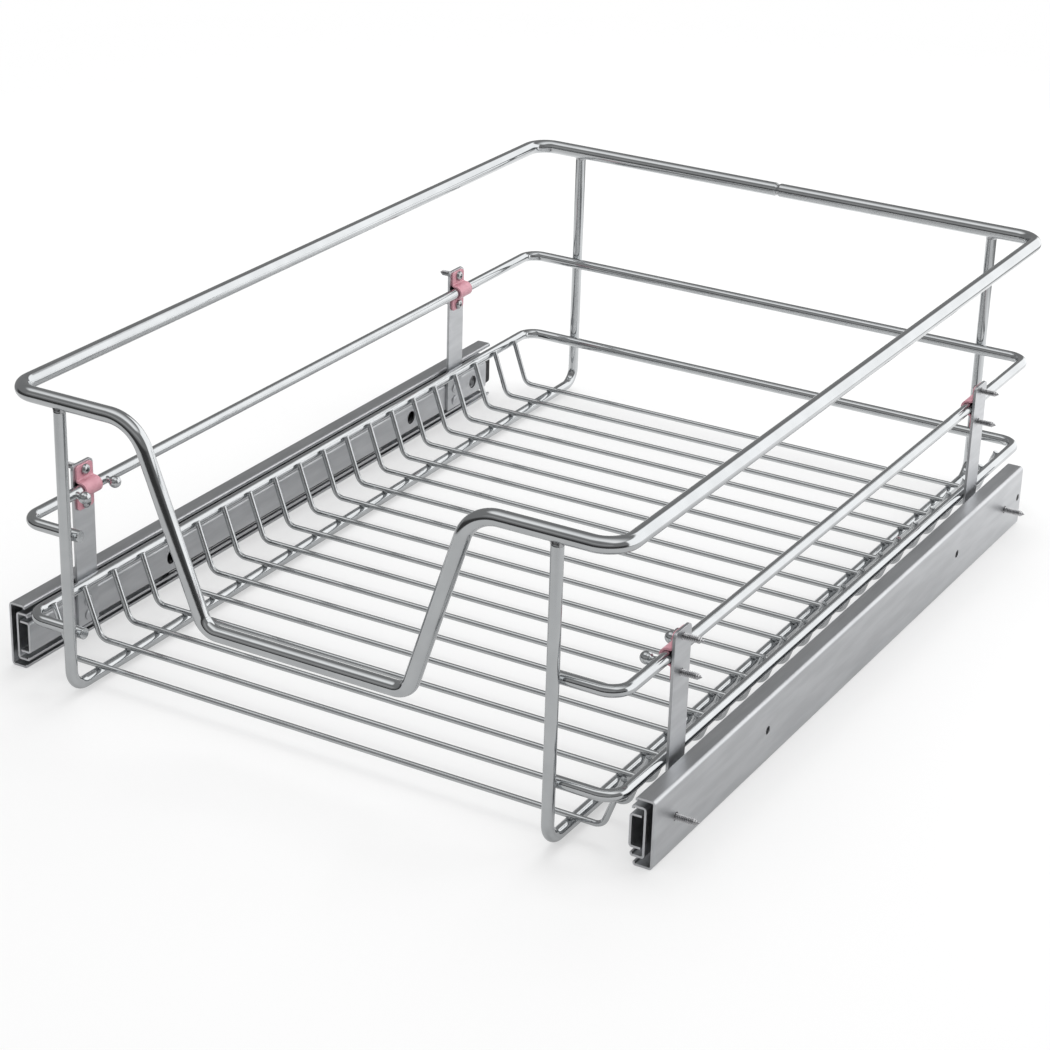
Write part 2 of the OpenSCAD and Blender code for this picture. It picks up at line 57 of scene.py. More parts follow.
def show(name, data):
    """A new object of the scene that holds a mesh, a lamp or a camera."""
    obj = bpy.data.objects.new(name, data)
    bpy.context.collection.objects.link(obj)
    return obj


# %% [markdown]
# The camera comes first, because it decides what the studio has to look like. It stands in front
# of the basket to the right and looks down on it. The lens is long, as for any small product, so
# that the far side is nearly as wide as the near one. A Track To constraint could aim it, but a
# hand-held camera is never quite level. So its turn is a matrix of its three axes, with a roll.

# %% Camera
CAMERA_PLACE = Vector((0.6368, -1.1651, 0.6319))
CAMERA_AZIMUTH = math.radians(29.56)
CAMERA_ELEVATION = math.radians(24.34)
CAMERA_ROLL = math.radians(1.71)
LENS_MM = 92.73
SENSOR_MM = 36


def camera_axes(azimuth, elevation, roll):
    """Right, up and backward of a camera that looks at the part from azimuth and elevation."""
    back = Vector((math.sin(azimuth) * math.cos(elevation),
                   -math.cos(azimuth) * math.cos(elevation),
                   math.sin(elevation)))
    right = Vector((0, 0, 1)).cross(back).normalized()
    up = back.cross(right)
    return (right * math.cos(roll) + up * math.sin(roll),
            up * math.cos(roll) - right * math.sin(roll),
            back)


camera = show("camera", bpy.data.cameras.new("camera"))
camera.data.lens = LENS_MM
camera.data.sensor_width = SENSOR_MM
camera_turn = Matrix(camera_axes(CAMERA_AZIMUTH, CAMERA_ELEVATION, CAMERA_ROLL)).transposed()
camera.matrix_world = Matrix.Translation(CAMERA_PLACE) @ camera_turn.to_4x4()
bpy.context.scene.camera = camera
bpy.context.scene.view_settings.view_transform = "Standard"
print("camera looks from", [round(v, 3) for v in CAMERA_PLACE])

# %% [markdown]
# A shader is a graph of nodes, but its maths reads better as Python. `Value` wraps one socket, and
# its operators add Math nodes, so that `1 - mask` or `mask * 0.5` is all that has to be written.

# %% Numbers that a shader works out


def plug(tree, socket, value):
    """Links a socket, a Value or a plain number or colour into an input socket."""
    if isinstance(value, Value):
        value = value.socket
    if isinstance(value, bpy.types.NodeSocket):
        tree.links.new(value, socket)
    else:
        socket.default_value = value


class Value:
    """A number that a shader works out at every point of a surface."""

    def __init__(self, tree, socket):
        self.tree = tree
        self.socket = socket

    def math(self, operation, *others):
        node = self.tree.nodes.new("ShaderNodeMath")
        node.operation = operation
        for socket, value in zip(node.inputs, (self, *others)):
            plug(self.tree, socket, value)
        return Value(self.tree, node.outputs[0])

    def __add__(self, other):
        return self.math("ADD", other)

    def __mul__(self, other):
        return self.math("MULTIPLY", other)

    def __rsub__(self, other):
        return (self * -1) + other

    __radd__ = __add__
    __rmul__ = __mul__


print("operators ready")

# %% [markdown]
# Anything that isn't arithmetic comes from `Shader.node`, which sets the node's own settings first
# and then its sockets. The other methods are the few combinations that every finish here needs: a
# soft edge, a mix of two colours, noise, and which kind of ray is asking. Noise reads Object
# coordinates, so that the pattern stays on the piece when the piece moves.

# %% A node tree with a few short words


class Shader:
    """The node tree of a material or of the world, emptied and ready to be filled."""

    def __init__(self, owner):
        owner.use_nodes = True
        self.tree = owner.node_tree
        self.tree.nodes.clear()

    def node(self, kind, settings=None, **sockets):
        """Adds a node, sets its settings, then its sockets; in a socket's name _ is a space."""
        node = self.tree.nodes.new("ShaderNode" + kind)
        for name, value in (settings or {}).items():
            setattr(node, name, value)
        for name, value in sockets.items():
            plug(self.tree, node.inputs[name.replace("_", " ")], value)
        return node

    def value(self, node, output):
        return Value(self.tree, node.outputs[output])

    def edge(self, value, low, high):
        """A soft step from 0 at low to 1 at high; with low above high it falls instead."""
        node = self.node("MapRange", {"interpolation_type": "SMOOTHSTEP"},
                         Value=value, From_Min=low, From_Max=high)
        return self.value(node, "Result")

    def mix(self, factor, a, b):
        """A colour between a and b."""
        node = self.node("Mix", {"data_type": "RGBA"})
        for name, value in (("Factor_Float", factor), ("A_Color", a), ("B_Color", b)):
            plug(self.tree, [s for s in node.inputs if s.identifier == name][0], value)
        return [s for s in node.outputs if s.identifier == "Result_Color"][0]

    def noise(self, scale, detail, stretch=(1, 1, 1)):
        """Soft noise from 0 to 1 on Object coordinates, scale in lumps per metre."""
        place = self.node("TexCoord").outputs["Object"]
        mapped = self.node("Mapping", Vector=place, Scale=tuple(scale * s for s in stretch))
        return self.value(self.node("TexNoise", Vector=mapped.outputs[0], Scale=1, Detail=detail), "Fac")

    def rays(self):
        """Masks for rays that come straight from the camera, and for those that chrome mirrors."""
        path = self.node("LightPath")
        seen = self.value(path, "Is Camera Ray").math("MAXIMUM", self.value(path, "Is Transmission Ray"))
        return seen, self.value(path, "Is Glossy Ray")

    def join(self, kind, first, second, **sockets):
        """An Add Shader or a Mix Shader of two shaders."""
        node = self.node(kind, **sockets)
        for socket, shader in zip([s for s in node.inputs if s.type == "SHADER"], (first, second)):
            self.tree.links.new(shader.outputs[0], socket)
        return node


print("shader helpers ready")

# %% [markdown]
# ## The studio
# Chrome has no colour of its own: it shows the room. The wires that run into the picture mirror
# what stands behind the basket to the right, and the wires that run across it mirror the room on
# the camera's side. A picture of a real studio could light it, but only a room that is drawn for
# these wires puts each bright and dark line in its place. So the room is a function of direction:
# a dim room, and cards that are laid over it one after the other. A card has a brightness and a
# few soft edges. An edge is an axis of the direction, where the card is clear and where it is
# full. Matt surfaces get even light instead, and the camera sees only white.

# %% The room, as the world's shader
DIM_ROOM = 0.27
EVEN_LIGHT = 0.85
CARDS = {
    "dark edge of the floor": (0.055, ("Z", 0.16, -0.02), ("Y", 0.10, -0.20)),
    "small grey card in front": (0.42, ("Y", -0.60, -0.70), ("Z", 0.24, 0.30), ("Z", 0.52, 0.44)),
    "soft box overhead": (1.3, ("Z", 0.66, 0.80), ("Y", -0.60, -0.30), ("Y", 0.55, -0.25)),
    "big white card behind, to the right": (
        1.55, ("Y", -0.02, 0.10), ("X", -0.18, -0.04), ("Z", -0.30, -0.20), ("Z", 0.74, 0.64)),
    "floor, steeply below": (0.62, ("Z", -0.31, -0.37)),
}

world = bpy.data.worlds.new("studio")
bpy.context.scene.world = world
room = Shader(world)
direction = room.node("SeparateXYZ", Vector=room.node("TexCoord").outputs["Generated"])
tone = DIM_ROOM
for strength, *edges in CARDS.values():
    card = math.prod(room.edge(room.value(direction, axis), clear, full) for axis, clear, full in edges)
    tone = tone + card * (strength - tone)
seen, mirrored = room.rays()
light = mirrored * tone + (1 - mirrored) * EVEN_LIGHT
light = seen + (1 - seen) * light
background = room.node("Background", Color=(1, 1, 1, 1), Strength=light)
room.node("OutputWorld", Surface=background.outputs[0])
print("room drawn with", len(CARDS), "cards")

# %% [markdown]
# The floor is a round sheet of pale paper. A plain white plane would show its edge. So this one
# fades into the white of the room, and it keeps the soft shadow that the basket throws. In the
# chrome it ends sooner, so that the wires mirror the dim room beyond it; steeply down, the room
# has the floor's own tone, so that the basket looks the same when it is pulled out past that edge.

# %% The paper floor
FLOOR_RADIUS = 1.3
FLOOR_FADE = 0.75
FLOOR_SIDES = 96
MIRRORED_RADIUS = 0.70
MIRRORED_FADE = 0.52
PAPER_TONES = ((0.46, 0.46, 0.46, 1), (0.48, 0.48, 0.48, 1))
PAPER_GRAIN = 2500
FLOOR_LIFT = 0.47
FLOOR_MIRRORED = 0.22
REAR_MIRRORED = 0.32
REAR_FULL = 0.35
TINY = 1e-9


def circle(radius, height, sides, x=0, y=0):
    """Points round a vertical axis, anticlockwise from above; without a radius it is one point."""
    if radius < TINY:
        return [(x, y, height)]
    turns = [2 * math.pi * k / sides for k in range(sides)]
    return [(x + radius * math.cos(a), y + radius * math.sin(a), height) for a in turns]


def mesh_of(name, verts, faces=(), edges=()):
    """A plain mesh from lists of points, faces and edges."""
    mesh = bpy.data.meshes.new(name)
    mesh.from_pydata([tuple(v) for v in verts], list(edges), [tuple(f) for f in faces])
    mesh.update()
    return mesh


def paper_material():
    """Paper that takes shadows: white to the camera, grey in the chrome, and gone past its edge."""
    material = bpy.data.materials.new("paper")
    paper = Shader(material)
    place = paper.node("TexCoord").outputs["Object"]
    distance = paper.value(paper.node("VectorMath", {"operation": "LENGTH"}, Vector=place), "Value")
    seen, mirrored = paper.rays()
    fade = paper.edge(distance, mirrored * (MIRRORED_FADE - FLOOR_FADE) + FLOOR_FADE,
                      mirrored * (MIRRORED_RADIUS - FLOOR_RADIUS) + FLOOR_RADIUS)
    sheet = paper.node("BsdfDiffuse", Color=paper.mix(paper.noise(PAPER_GRAIN, 3), *PAPER_TONES))
    # The paper glows for the camera, and for the chrome as well, more over its rear half: painted light that
    # only reflections show.
    rear = paper.edge(paper.value(paper.node("SeparateXYZ", Vector=place), "Y"), 0, REAR_FULL)
    lift = seen * FLOOR_LIFT + mirrored * (rear * REAR_MIRRORED + FLOOR_MIRRORED)
    glow = paper.node("Emission", Color=(1, 1, 1, 1), Strength=lift)
    lit = paper.join("AddShader", sheet, glow)
    blend = paper.join("MixShader", lit, paper.node("BsdfTransparent"), Fac=fade)
    paper.node("OutputMaterial", Surface=blend.outputs[0])
    return material


floor = show("floor", mesh_of("floor", circle(FLOOR_RADIUS, 0, FLOOR_SIDES), [range(FLOOR_SIDES)]))
floor.data.materials.append(paper_material())
print("floor radius", FLOOR_RADIUS, "m")

# %% [markdown]
# Two large soft lamps light what is matt: one overhead and behind, one to the right. Small lamps
# would throw hard shadows of every wire. The chrome doesn't see them, because it has its cards.

# %% Lamps


def soft_lamp(name, place, target, size, watts):
    """A square soft box at place that faces target."""
    lamp = bpy.data.lights.new(name, "AREA")
    lamp.shape = "SQUARE"
    lamp.size = size
    lamp.energy = watts
    holder = show(name, lamp)
    holder.location = place
    holder.rotation_euler = (Vector(target) - Vector(place)).to_track_quat("-Z", "Y").to_euler()
    holder.visible_camera = False
    holder.visible_glossy = False


soft_lamp("overhead_soft_box", place=(-0.3, 0.7, 1.5), target=(0, 0, 0.05), size=1.0, watts=9)
soft_lamp("side_soft_box", place=(1.3, 0.9, 0.9), target=(0, 0, 0.08), size=0.9, watts=7)
print("lamps:", len(bpy.data.lights))

# %% [markdown]
# ## Sizes
# Diameters and places of the wires are measured on the frame's boxes, so that the pieces follow
# the frame when its sizes change. What a box can't show, such as the radius of a bend or the
# slant of the handle dip, is a named size in millimetres.

# %% Measure the wires


def middle(node):
    """Middle of a node's box."""
    low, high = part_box(node)
    return (low + high) / 2


def extent(node):
    """Size of a node's box."""
    low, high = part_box(node)
    return high - low


rim_wire = extent("rim_butt_weld").z
ring_wire = extent("middle_ring").z
frame_wire = extent("right_side_frame").x
floor_wire = extent("floor_wire_01").y
rim_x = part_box("top_rim")[1].x - rim_wire / 2
rim_y, rim_z = middle("rim_butt_weld").yz
dip_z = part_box("top_rim")[0].z + rim_wire / 2
ring_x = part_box("middle_ring")[1].x - ring_wire / 2
ring_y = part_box("middle_ring")[1].y - ring_wire / 2
ring_z = {ring: middle(ring).z for ring in ("middle_ring", "lower_ring")}
post_x = middle("right_side_frame").x
post_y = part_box("right_side_frame")[1].y - frame_wire / 2
post_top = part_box("right_side_frame")[1].z
frame_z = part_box("right_side_frame")[0].z + frame_wire / 2
floor_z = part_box("floor_wire_01")[0].z + floor_wire / 2
FLOOR_COUNT = sum(name.startswith("floor_wire_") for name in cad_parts)
floor_y = [middle(f"floor_wire_{k + 1:02d}").y for k in range(FLOOR_COUNT)]
print("wires:", [round(d / MM, 2) for d in (rim_wire, ring_wire, frame_wire, floor_wire)], "mm")

# %% [markdown]
# ## Geometry Nodes, written as Python
# Most of this object is something that follows a path or repeats: bent wires, weld beads, screws,
# balls. Geometry Nodes do both. `Recipe` builds one tree with named inputs. Every tree ends the
# same way: its copies are made real, smooth faces are told from sharp edges, and it gets its
# material.

# %% A helper that builds a tree
SHARP_ANGLE = math.radians(38)


class Recipe:
    def __init__(self, name, **inputs):
        self.tree = bpy.data.node_groups.new(name, "GeometryNodeTree")
        sockets = self.tree.interface
        for label, kind in {"Geometry": "Geometry", **inputs, "Material": "Material"}.items():
            sockets.new_socket(label.replace("_", " "), in_out="INPUT", socket_type="NodeSocket" + kind)
        sockets.new_socket("Geometry", in_out="OUTPUT", socket_type="NodeSocketGeometry")
        self.given = self.tree.nodes.new("NodeGroupInput").outputs

    def node(self, kind, settings=None, **sockets):
        """Adds a node and gives back its first output; in a socket's name _ is a space."""
        node = self.tree.nodes.new(kind)
        for name, value in (settings or {}).items():
            setattr(node, name, value)
        for name, value in sockets.items():
            plug(self.tree, node.inputs[name.replace("_", " ")], value)
        return node.outputs[0]

    def attribute(self, name, kind="FLOAT"):
        return self.node("GeometryNodeInputNamedAttribute", {"data_type": kind}, Name=name)

    def bent_path(self):
        """The given polyline as a curve, each corner rounded with the radius it brings along."""
        path = self.node("GeometryNodeMeshToCurve", Mesh=self.given["Geometry"])
        return self.node("GeometryNodeFilletCurve", {"mode": "POLY"}, Curve=path,
                         Count=self.given["Bend Steps"], Radius=self.attribute("bend"), Limit_Radius=True)

    def finish(self, geometry):
        """Realize Instances, shade smooth except at sharp edges, and set the material."""
        solid = self.node("GeometryNodeRealizeInstances", Geometry=geometry)
        smooth = self.node("GeometryNodeSetShadeSmooth", Geometry=solid, Shade_Smooth=True)
        sharp = self.node("FunctionNodeCompare", {"data_type": "FLOAT", "operation": "GREATER_THAN"},
                          A=self.node("GeometryNodeInputMeshEdgeAngle"), B=SHARP_ANGLE)
        crisp = self.node("GeometryNodeSetShadeSmooth", {"domain": "EDGE"}, Geometry=smooth,
                          Selection=sharp, Shade_Smooth=False)
        painted = self.node("GeometryNodeSetMaterial", Geometry=crisp, Material=self.given["Material"])
        self.tree.links.new(painted, self.tree.nodes.new("NodeGroupOutput").inputs[0])
        return self.tree


print("edges sharper than", round(math.degrees(SHARP_ANGLE)), "degrees stay sharp")

# %% [markdown]
# `make` runs a recipe on a mesh and keeps the result as a plain mesh, so that nothing is left to
# work out later. The mesh may bring a number for each of its points, such as a bend radius. At
# the end `fit` tells the frame what the piece is: the body that it rides on, and the CAD nodes
# that it stands for.

# %% Helpers that run a recipe and fit a piece


def give(mesh, name, values, kind="FLOAT"):
    """Stores one number or vector for each point of a mesh, for a recipe to read."""
    attribute = mesh.attributes.new(name, kind, "POINT")
    attribute.data.foreach_set("value" if kind == "FLOAT" else "vector",
                               [n for v in values for n in (v if kind != "FLOAT" else (v,))])


def settle(obj):
    """Applies every modifier of an object, so that only a plain mesh is left."""
    bpy.context.view_layer.update()
    graph = bpy.context.evaluated_depsgraph_get()
    result = bpy.data.meshes.new_from_object(obj.evaluated_get(graph), depsgraph=graph)
    obj.modifiers.clear()
    obj.data = result
    result.name = obj.name
    return obj


def make(name, mesh, recipe, material, **inputs):
    """Runs a recipe on a mesh and returns an object that holds the plain result."""
    obj = show(name, mesh)
    modifier = obj.modifiers.new("recipe", "NODES")
    modifier.node_group = recipe
    inputs["Material"] = material
    for item in recipe.interface.items_tree:
        label = item.name.replace(" ", "_")
        if item.in_out == "INPUT" and label in inputs:
            modifier[item.identifier] = inputs[label]
    return settle(obj)


def fit(obj, body, slot, *nodes):
    """The piece rides on a body and stands for the named CAD nodes; slot is not used."""
    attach(obj, body)
    if nodes:
        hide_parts(*nodes)
    return obj


print("recipes ready")

# %% [markdown]
# ## Chrome
# Bright chrome over drawn wire is nearly a mirror. One even colour and roughness would look like
# glass. Two things keep it from that: the drawn wire under the plate is never quite straight, so
# reflections swim a little along it, and handling leaves a faint haze in places. Round the welds
# the plate is thin and greyer. Every finish on the object is made by the same function, with
# noise of its own scale for the tone, the polish and the relief.

# %% Chrome and weld metal
PATCH_EDGES = (0.3, 0.7)
PATCH_DETAIL = 3


def finish_material(name, tones, patches, polish, relief, depth, stretch=(1, 1, 1),
                    rolling=(1, 1, 1), haze=2.3, detail=(4, 2), metallic=1.0, **surface):
    """A finish between two tones and between two degrees of polish, over a shallow relief.
    Patches and relief are in lumps per metre; haze is finer than patches by that factor."""
    material = bpy.data.materials.new(name)
    shader = Shader(material)
    cloud = shader.edge(shader.noise(patches, PATCH_DETAIL, stretch), *PATCH_EDGES)
    hazy = shader.noise(patches * haze, detail[0], stretch)
    height = shader.noise(relief, detail[1], rolling)
    bump = shader.node("Bump", Height=height, Strength=1.0, Distance=depth)
    dark, bright = ((*tone, 1) for tone in tones)
    bright_polish, dull_polish = polish
    plate = shader.node("BsdfPrincipled", Base_Color=shader.mix(cloud, dark, bright), Metallic=metallic,
                        Roughness=hazy * (dull_polish - bright_polish) + bright_polish,
                        Normal=bump.outputs[0], **surface)
    shader.node("OutputMaterial", Surface=plate.outputs[0])
    return material


chrome = finish_material("chrome_wire", tones=((0.51, 0.525, 0.535), (0.555, 0.57, 0.58)),
                         patches=60, polish=(0.04, 0.14), relief=140, depth=0.03 * MM)
weld_metal = finish_material("weld_metal", tones=((0.36, 0.365, 0.37), (0.50, 0.51, 0.52)),
                             patches=900, polish=(0.14, 0.32), relief=1500, depth=0.014 * MM)
print("chrome and weld metal done")

# %% [markdown]
# ## Bent wires
# Each wire is one length of round steel, bent in a jig. It could be modelled as cylinders and
# pieces of torus, but a wire is really a path with a thickness, so that is how it is made: a
# polyline of its corners, rounded by Fillet Curve with a radius that each corner brings along,
# and swept with a circle. Two extra points just inside each end draw the cut edge in a little.

# %% Recipe for a bent wire
END_CHAMFER = 0.35 * MM
SUPPORT = 0.5 * MM


def wire_recipe():
    recipe = Recipe("bent_wire", Wire_Radius="Float", Sides="Int", Bend_Steps="Int")
    section = recipe.node("GeometryNodeCurvePrimitiveCircle", Resolution=recipe.given["Sides"],
                          Radius=recipe.given["Wire Radius"])
    tube = recipe.node("GeometryNodeCurveToMesh", Curve=recipe.bent_path(), Profile_Curve=section,
                       Scale=recipe.attribute("swell"), Fill_Caps=True)
    return recipe.finish(tube)


def with_supports(corners, bends, chamfer):
    """Adds a point just outside each bend and each cut end, so that straight runs shade straight."""
    path = [(corners[0], 0)]
    for before, corner, after, bend in zip(corners, corners[1:], corners[2:], bends):
        back, ahead = (before - corner).normalized(), (after - corner).normalized()
        clear = bend / math.tan(back.angle(ahead) / 2) + SUPPORT
        path += [(corner + back * clear, 0), (corner, bend), (corner + ahead * clear, 0)]
    path.append((corners[-1], 0))
    for end, toward, place in ((0, 1, 1), (-1, -2, -1)):
        run = (corners[toward] - corners[end]).normalized()
        near = [(corners[end] + run * chamfer, 0), (corners[end] + run * (chamfer + SUPPORT), 0)]
        path[place:place] = near if end == 0 else reversed(near)
    return path


def polyline(name, corners):
    """A path for a recipe to bend, from (point, bend radius) corners."""
    steps = [(i, i + 1) for i in range(len(corners) - 1)]
    mesh = mesh_of(name, [point for point, bend in corners], edges=steps)
    give(mesh, "bend", [bend for point, bend in corners])
    return mesh


def bend_wire(node, corners, bends, diameter, sides, steps, chamfer=END_CHAMFER):
    """The wire that stands for a CAD node, each of its corners rounded with its own bend radius."""
    name = "chrome_" + node
    path = with_supports([Vector(c) for c in corners], bends, chamfer)
    mesh = polyline(name, path)
    cut = 1 - chamfer / diameter
    give(mesh, "swell", [cut, *[1] * (len(path) - 2), cut])
    wire = make(name, mesh, wire_tree, chrome, Wire_Radius=diameter / 2, Sides=sides, Bend_Steps=steps)
    return fit(wire, "basket", "chrome_wire", node)


wire_tree = wire_recipe()
print("bent wire recipe:", len(wire_tree.nodes), "nodes")

# %% [markdown]
# The rim is the thickest wire. It starts and ends in the middle of the back, where its two ends
# are butt-welded, and its front run drops into the dip that a hand pulls on. Left and right are
# alike, so only the right half is written down.

# %% The rim
RIM_BEND = 13 * MM
DIP_TOP_BEND = 20 * MM
DIP_LOW_BEND = 10 * MM
DIP_TOP_HALF = 91 * MM
DIP_LOW_HALF = 56.5 * MM
DIP_LEAN = 5 * MM
BUTT_CHAMFER = 1.4 * MM


def across(half):
    """A wire's whole path from its right half: the left half mirrors it."""
    return [(-x, y, z) for x, y, z in half] + half[::-1]


butt_half = extent("rim_butt_weld").x / 2
rim_half = [(butt_half, rim_y, rim_z), (rim_x, rim_y, rim_z), (rim_x, -rim_y, rim_z),
            (DIP_TOP_HALF, -rim_y, rim_z), (DIP_LOW_HALF, DIP_LEAN - rim_y, dip_z)]
rim_bends = [RIM_BEND, RIM_BEND, DIP_TOP_BEND, DIP_LOW_BEND]
rim = bend_wire("top_rim", across(rim_half), rim_bends + rim_bends[::-1], rim_wire,
                sides=48, steps=20, chamfer=BUTT_CHAMFER)
print("rim:", len(rim.data.polygons), "faces")

# %% [markdown]
# Both rings run round the back and the sides and turn in behind the front posts, where they end.
# The side frames are one wire each: front post, bottom run, back post. All of them are bends of
# the same recipe, so each is only a list of corners.

# %% Rings and side frames
RING_BEND = 10 * MM
FRAME_BEND = 10 * MM
RING_TAIL = 4.5 * MM

for ring, z in ring_z.items():
    half = [(post_x - RING_TAIL, -ring_y, z), (ring_x, -ring_y, z), (ring_x, ring_y, z)]
    bend_wire(ring, across(half), [RING_BEND] * 4, ring_wire, sides=36, steps=16)

for side, sign in SIDES:
    corners = [(sign * post_x, y, z) for y, z in
               ((-post_y, post_top), (-post_y, frame_z), (post_y, frame_z), (post_y, post_top))]
    bend_wire(f"{side}_side_frame", corners, [FRAME_BEND] * 2, frame_wire, sides=36, steps=16)
print("rings and side frames:", len(ring_z) + len(SIDES))

# %% [markdown]
# The floor wires are thin ones whose ends turn up to the lower ring. An end leans against the
# ring. Its slope could be measured, but it also follows from where the bend is and from the two
# diameters: it is the tangent from the bend to a circle round the ring, so that the wires touch
# at any size.

# %% Floor wires
FLOOR_BEND = 6 * MM
FLOOR_BEND_INSET = 13.5 * MM
FLOOR_TIP = 0.8 * MM
WELD_SINK = 0.15 * MM

ring_touch = ring_wire / 2 + floor_wire / 2 - WELD_SINK
floor_bend_x = ring_x - FLOOR_BEND_INSET
ring_drop = ring_z["lower_ring"] - floor_z
bend_to_ring = math.hypot(FLOOR_BEND_INSET, ring_drop)
floor_rise = math.atan2(ring_drop, FLOOR_BEND_INSET) + math.asin(ring_touch / bend_to_ring)
floor_weld = math.sqrt(bend_to_ring ** 2 - ring_touch ** 2)
rise_step = Vector((math.cos(floor_rise), 0, math.sin(floor_rise)))
floor_tip = Vector((floor_bend_x, 0, floor_z)) + rise_step * (floor_weld + FLOOR_TIP)

for k, y in enumerate(floor_y):
    half = [(floor_tip.x, y, floor_tip.z), (floor_bend_x, y, floor_z)]
    bend_wire(f"floor_wire_{k + 1:02d}", across(half), [FLOOR_BEND] * 2, floor_wire, sides=24, steps=10)
print("floor wires rise at", round(math.degrees(floor_rise), 1), "degrees")

# %% [markdown]
# ## Weld beads
# Where two wires cross they are resistance-welded: current melts the touching spot, and a little
# metal squeezes out into the notch between the two round wires. A squashed ball would do from far
# away. Here a bead is modelled as what fills that notch: an oval whose top lies on the upper wire,
# whose foot lies on the lower one, and whose side is waisted like any fillet.
#
# Such a shape is a stack of rings of points. So are a turned pin, a screw and a punch. The Spin
# tool and the Screw modifier make some of them, but not an oval that changes on its way up.
# `skin` lays faces over any stack and closes both ends. Its faces point outwards when the rings
# run anticlockwise and the stack goes up.

# %% Solids from rings of points


def skin(rings):
    """Points and faces of a closed solid over a stack of rings; a ring of one point is a tip."""
    verts = [point for ring in rings for point in ring]
    faces, start = [], 0
    for ring, following in zip(rings, rings[1:]):
        after = start + len(ring)
        for k in range(max(len(ring), len(following))):
            face = [start + k % len(ring), start + (k + 1) % len(ring),
                    after + (k + 1) % len(following), after + k % len(following)]
            faces.append(list(dict.fromkeys(face)))
        start = after
    if len(rings[0]) > 1:
        faces.append(range(len(rings[0]))[::-1])
    if len(rings[-1]) > 1:
        faces.append(range(start, start + len(rings[-1])))
    return verts, faces


def solids(name, *skins):
    """One mesh of several closed skins."""
    verts, faces = [], []
    for more_verts, more_faces in skins:
        faces += [[v + len(verts) for v in face] for face in more_faces]
        verts += more_verts
    return mesh_of(name, verts, faces)


print("solids ready")

# %% [markdown]
# The beads take their shape from the wires. `sag` says how far a round wire's surface has fallen
# away beside its top, which is where the foot and the top of a bead have to be.

# %% Beads for crossing wires
BEAD_SIDES = 24
BEAD_ROWS = 6
BEAD_WAIST = 0.24
BEAD_BITE = 0.06 * MM


def sag(radius, off):
    """How far a round wire's surface falls below its top, off to one side of it."""
    return radius - math.sqrt(radius ** 2 - off ** 2)


def crossing_bead(name, lower, upper, along_upper, along_lower, upper_end=math.inf):
    """Bead between a lower wire along Y and an upper one along X, which may end at upper_end;
    the wires touch at the origin."""
    rings = []
    for row in range(BEAD_ROWS + 1):
        t = row / BEAD_ROWS
        ring = []
        for x, y, _ in circle(1 - BEAD_WAIST * math.sin(math.pi * t), 0, BEAD_SIDES):
            x, y = min(along_upper * x, upper_end), along_lower * y
            foot = -sag(lower, x) - BEAD_BITE
            top = sag(upper, y) + BEAD_BITE
            ring.append((x, y, foot + (top - foot) * t))
        rings.append(ring)
    return solids(name, skin(rings))


floor_bead = crossing_bead("floor_bead", frame_wire / 2, floor_wire / 2,
                           along_upper=2.1 * MM, along_lower=1.25 * MM)
tip_bead = crossing_bead("tip_bead", ring_wire / 2, floor_wire / 2,
                         along_upper=1.9 * MM, along_lower=1.2 * MM, upper_end=FLOOR_TIP - 0.2 * MM)
post_bead = crossing_bead("post_bead", frame_wire / 2, ring_wire / 2,
                          along_upper=2.3 * MM, along_lower=2.3 * MM)
print("a bead has", len(floor_bead.polygons), "faces")

# %% [markdown]
# There are nearly ninety crossings, and the beads of one kind are alike. Copying them by hand
# would take an object for each. A second recipe does it instead: it puts an instance of the bead
# on every point of a mesh, with the turn that the point brings along.

# %% Recipe for copies


def copies_recipe():
    recipe = Recipe("copies_on_points", Piece="Object")
    piece = recipe.tree.nodes.new("GeometryNodeObjectInfo")
    recipe.tree.links.new(recipe.given["Piece"], piece.inputs["Object"])
    turn = recipe.node("FunctionNodeEulerToRotation", Euler=recipe.attribute("turn", "FLOAT_VECTOR"))
    placed = recipe.node("GeometryNodeInstanceOnPoints", Points=recipe.given["Geometry"],
                         Instance=piece.outputs["Geometry"], Rotation=turn)
    return recipe.finish(placed)


def turned(x_axis, z_axis):
    """Euler turn that lays a piece's X along x_axis and its Z along z_axis."""
    x, z = Vector(x_axis).normalized(), Vector(z_axis).normalized()
    return Matrix((x, z.cross(x), z)).transposed().to_euler()


def copies(name, piece_mesh, places, material, body, slot, *nodes):
    """Copies of a mesh at (point, turn) places, as one plain piece."""
    piece = show(name + "_piece", piece_mesh)
    mesh = mesh_of(name, [point for point, turn in places])
    give(mesh, "turn", [tuple(turn) for point, turn in places], "FLOAT_VECTOR")
    obj = make(name, mesh, copies_tree, material, Piece=piece)
    bpy.data.objects.remove(piece)
    return fit(obj, body, slot, *nodes)


def welds(name, bead, places, *nodes):
    """Weld beads of one kind, on the basket."""
    return copies(name, bead, places, weld_metal, "basket", "chrome_wire", *nodes)


copies_tree = copies_recipe()
print("copies recipe:", len(copies_tree.nodes), "nodes")

# %% [markdown]
# The floor wires lie on the side frames; their tips lean on the inside of the lower ring; the
# rings are welded to the inner faces of the four posts. A place is a point and a turn. The turn
# says how the upper wire runs and which way is up at that weld.

# %% Place the beads
on_frames = [((sign * post_x, y, frame_z + frame_wire / 2), turned((1, 0, 0), (0, 0, 1)))
             for sign in (-1, 1) for y in floor_y]
welds("floor_to_frame_welds", floor_bead, on_frames)

from_ring = Vector((-rise_step.z, 0, rise_step.x))
touch = Vector((ring_x, 0, ring_z["lower_ring"])) + from_ring * (ring_wire / 2)
on_ring = [((sign * touch.x, y, touch.z),
            turned((sign * rise_step.x, 0, rise_step.z), (sign * from_ring.x, 0, from_ring.z)))
           for sign in (-1, 1) for y in floor_y]
welds("floor_to_ring_welds", tip_bead, on_ring)

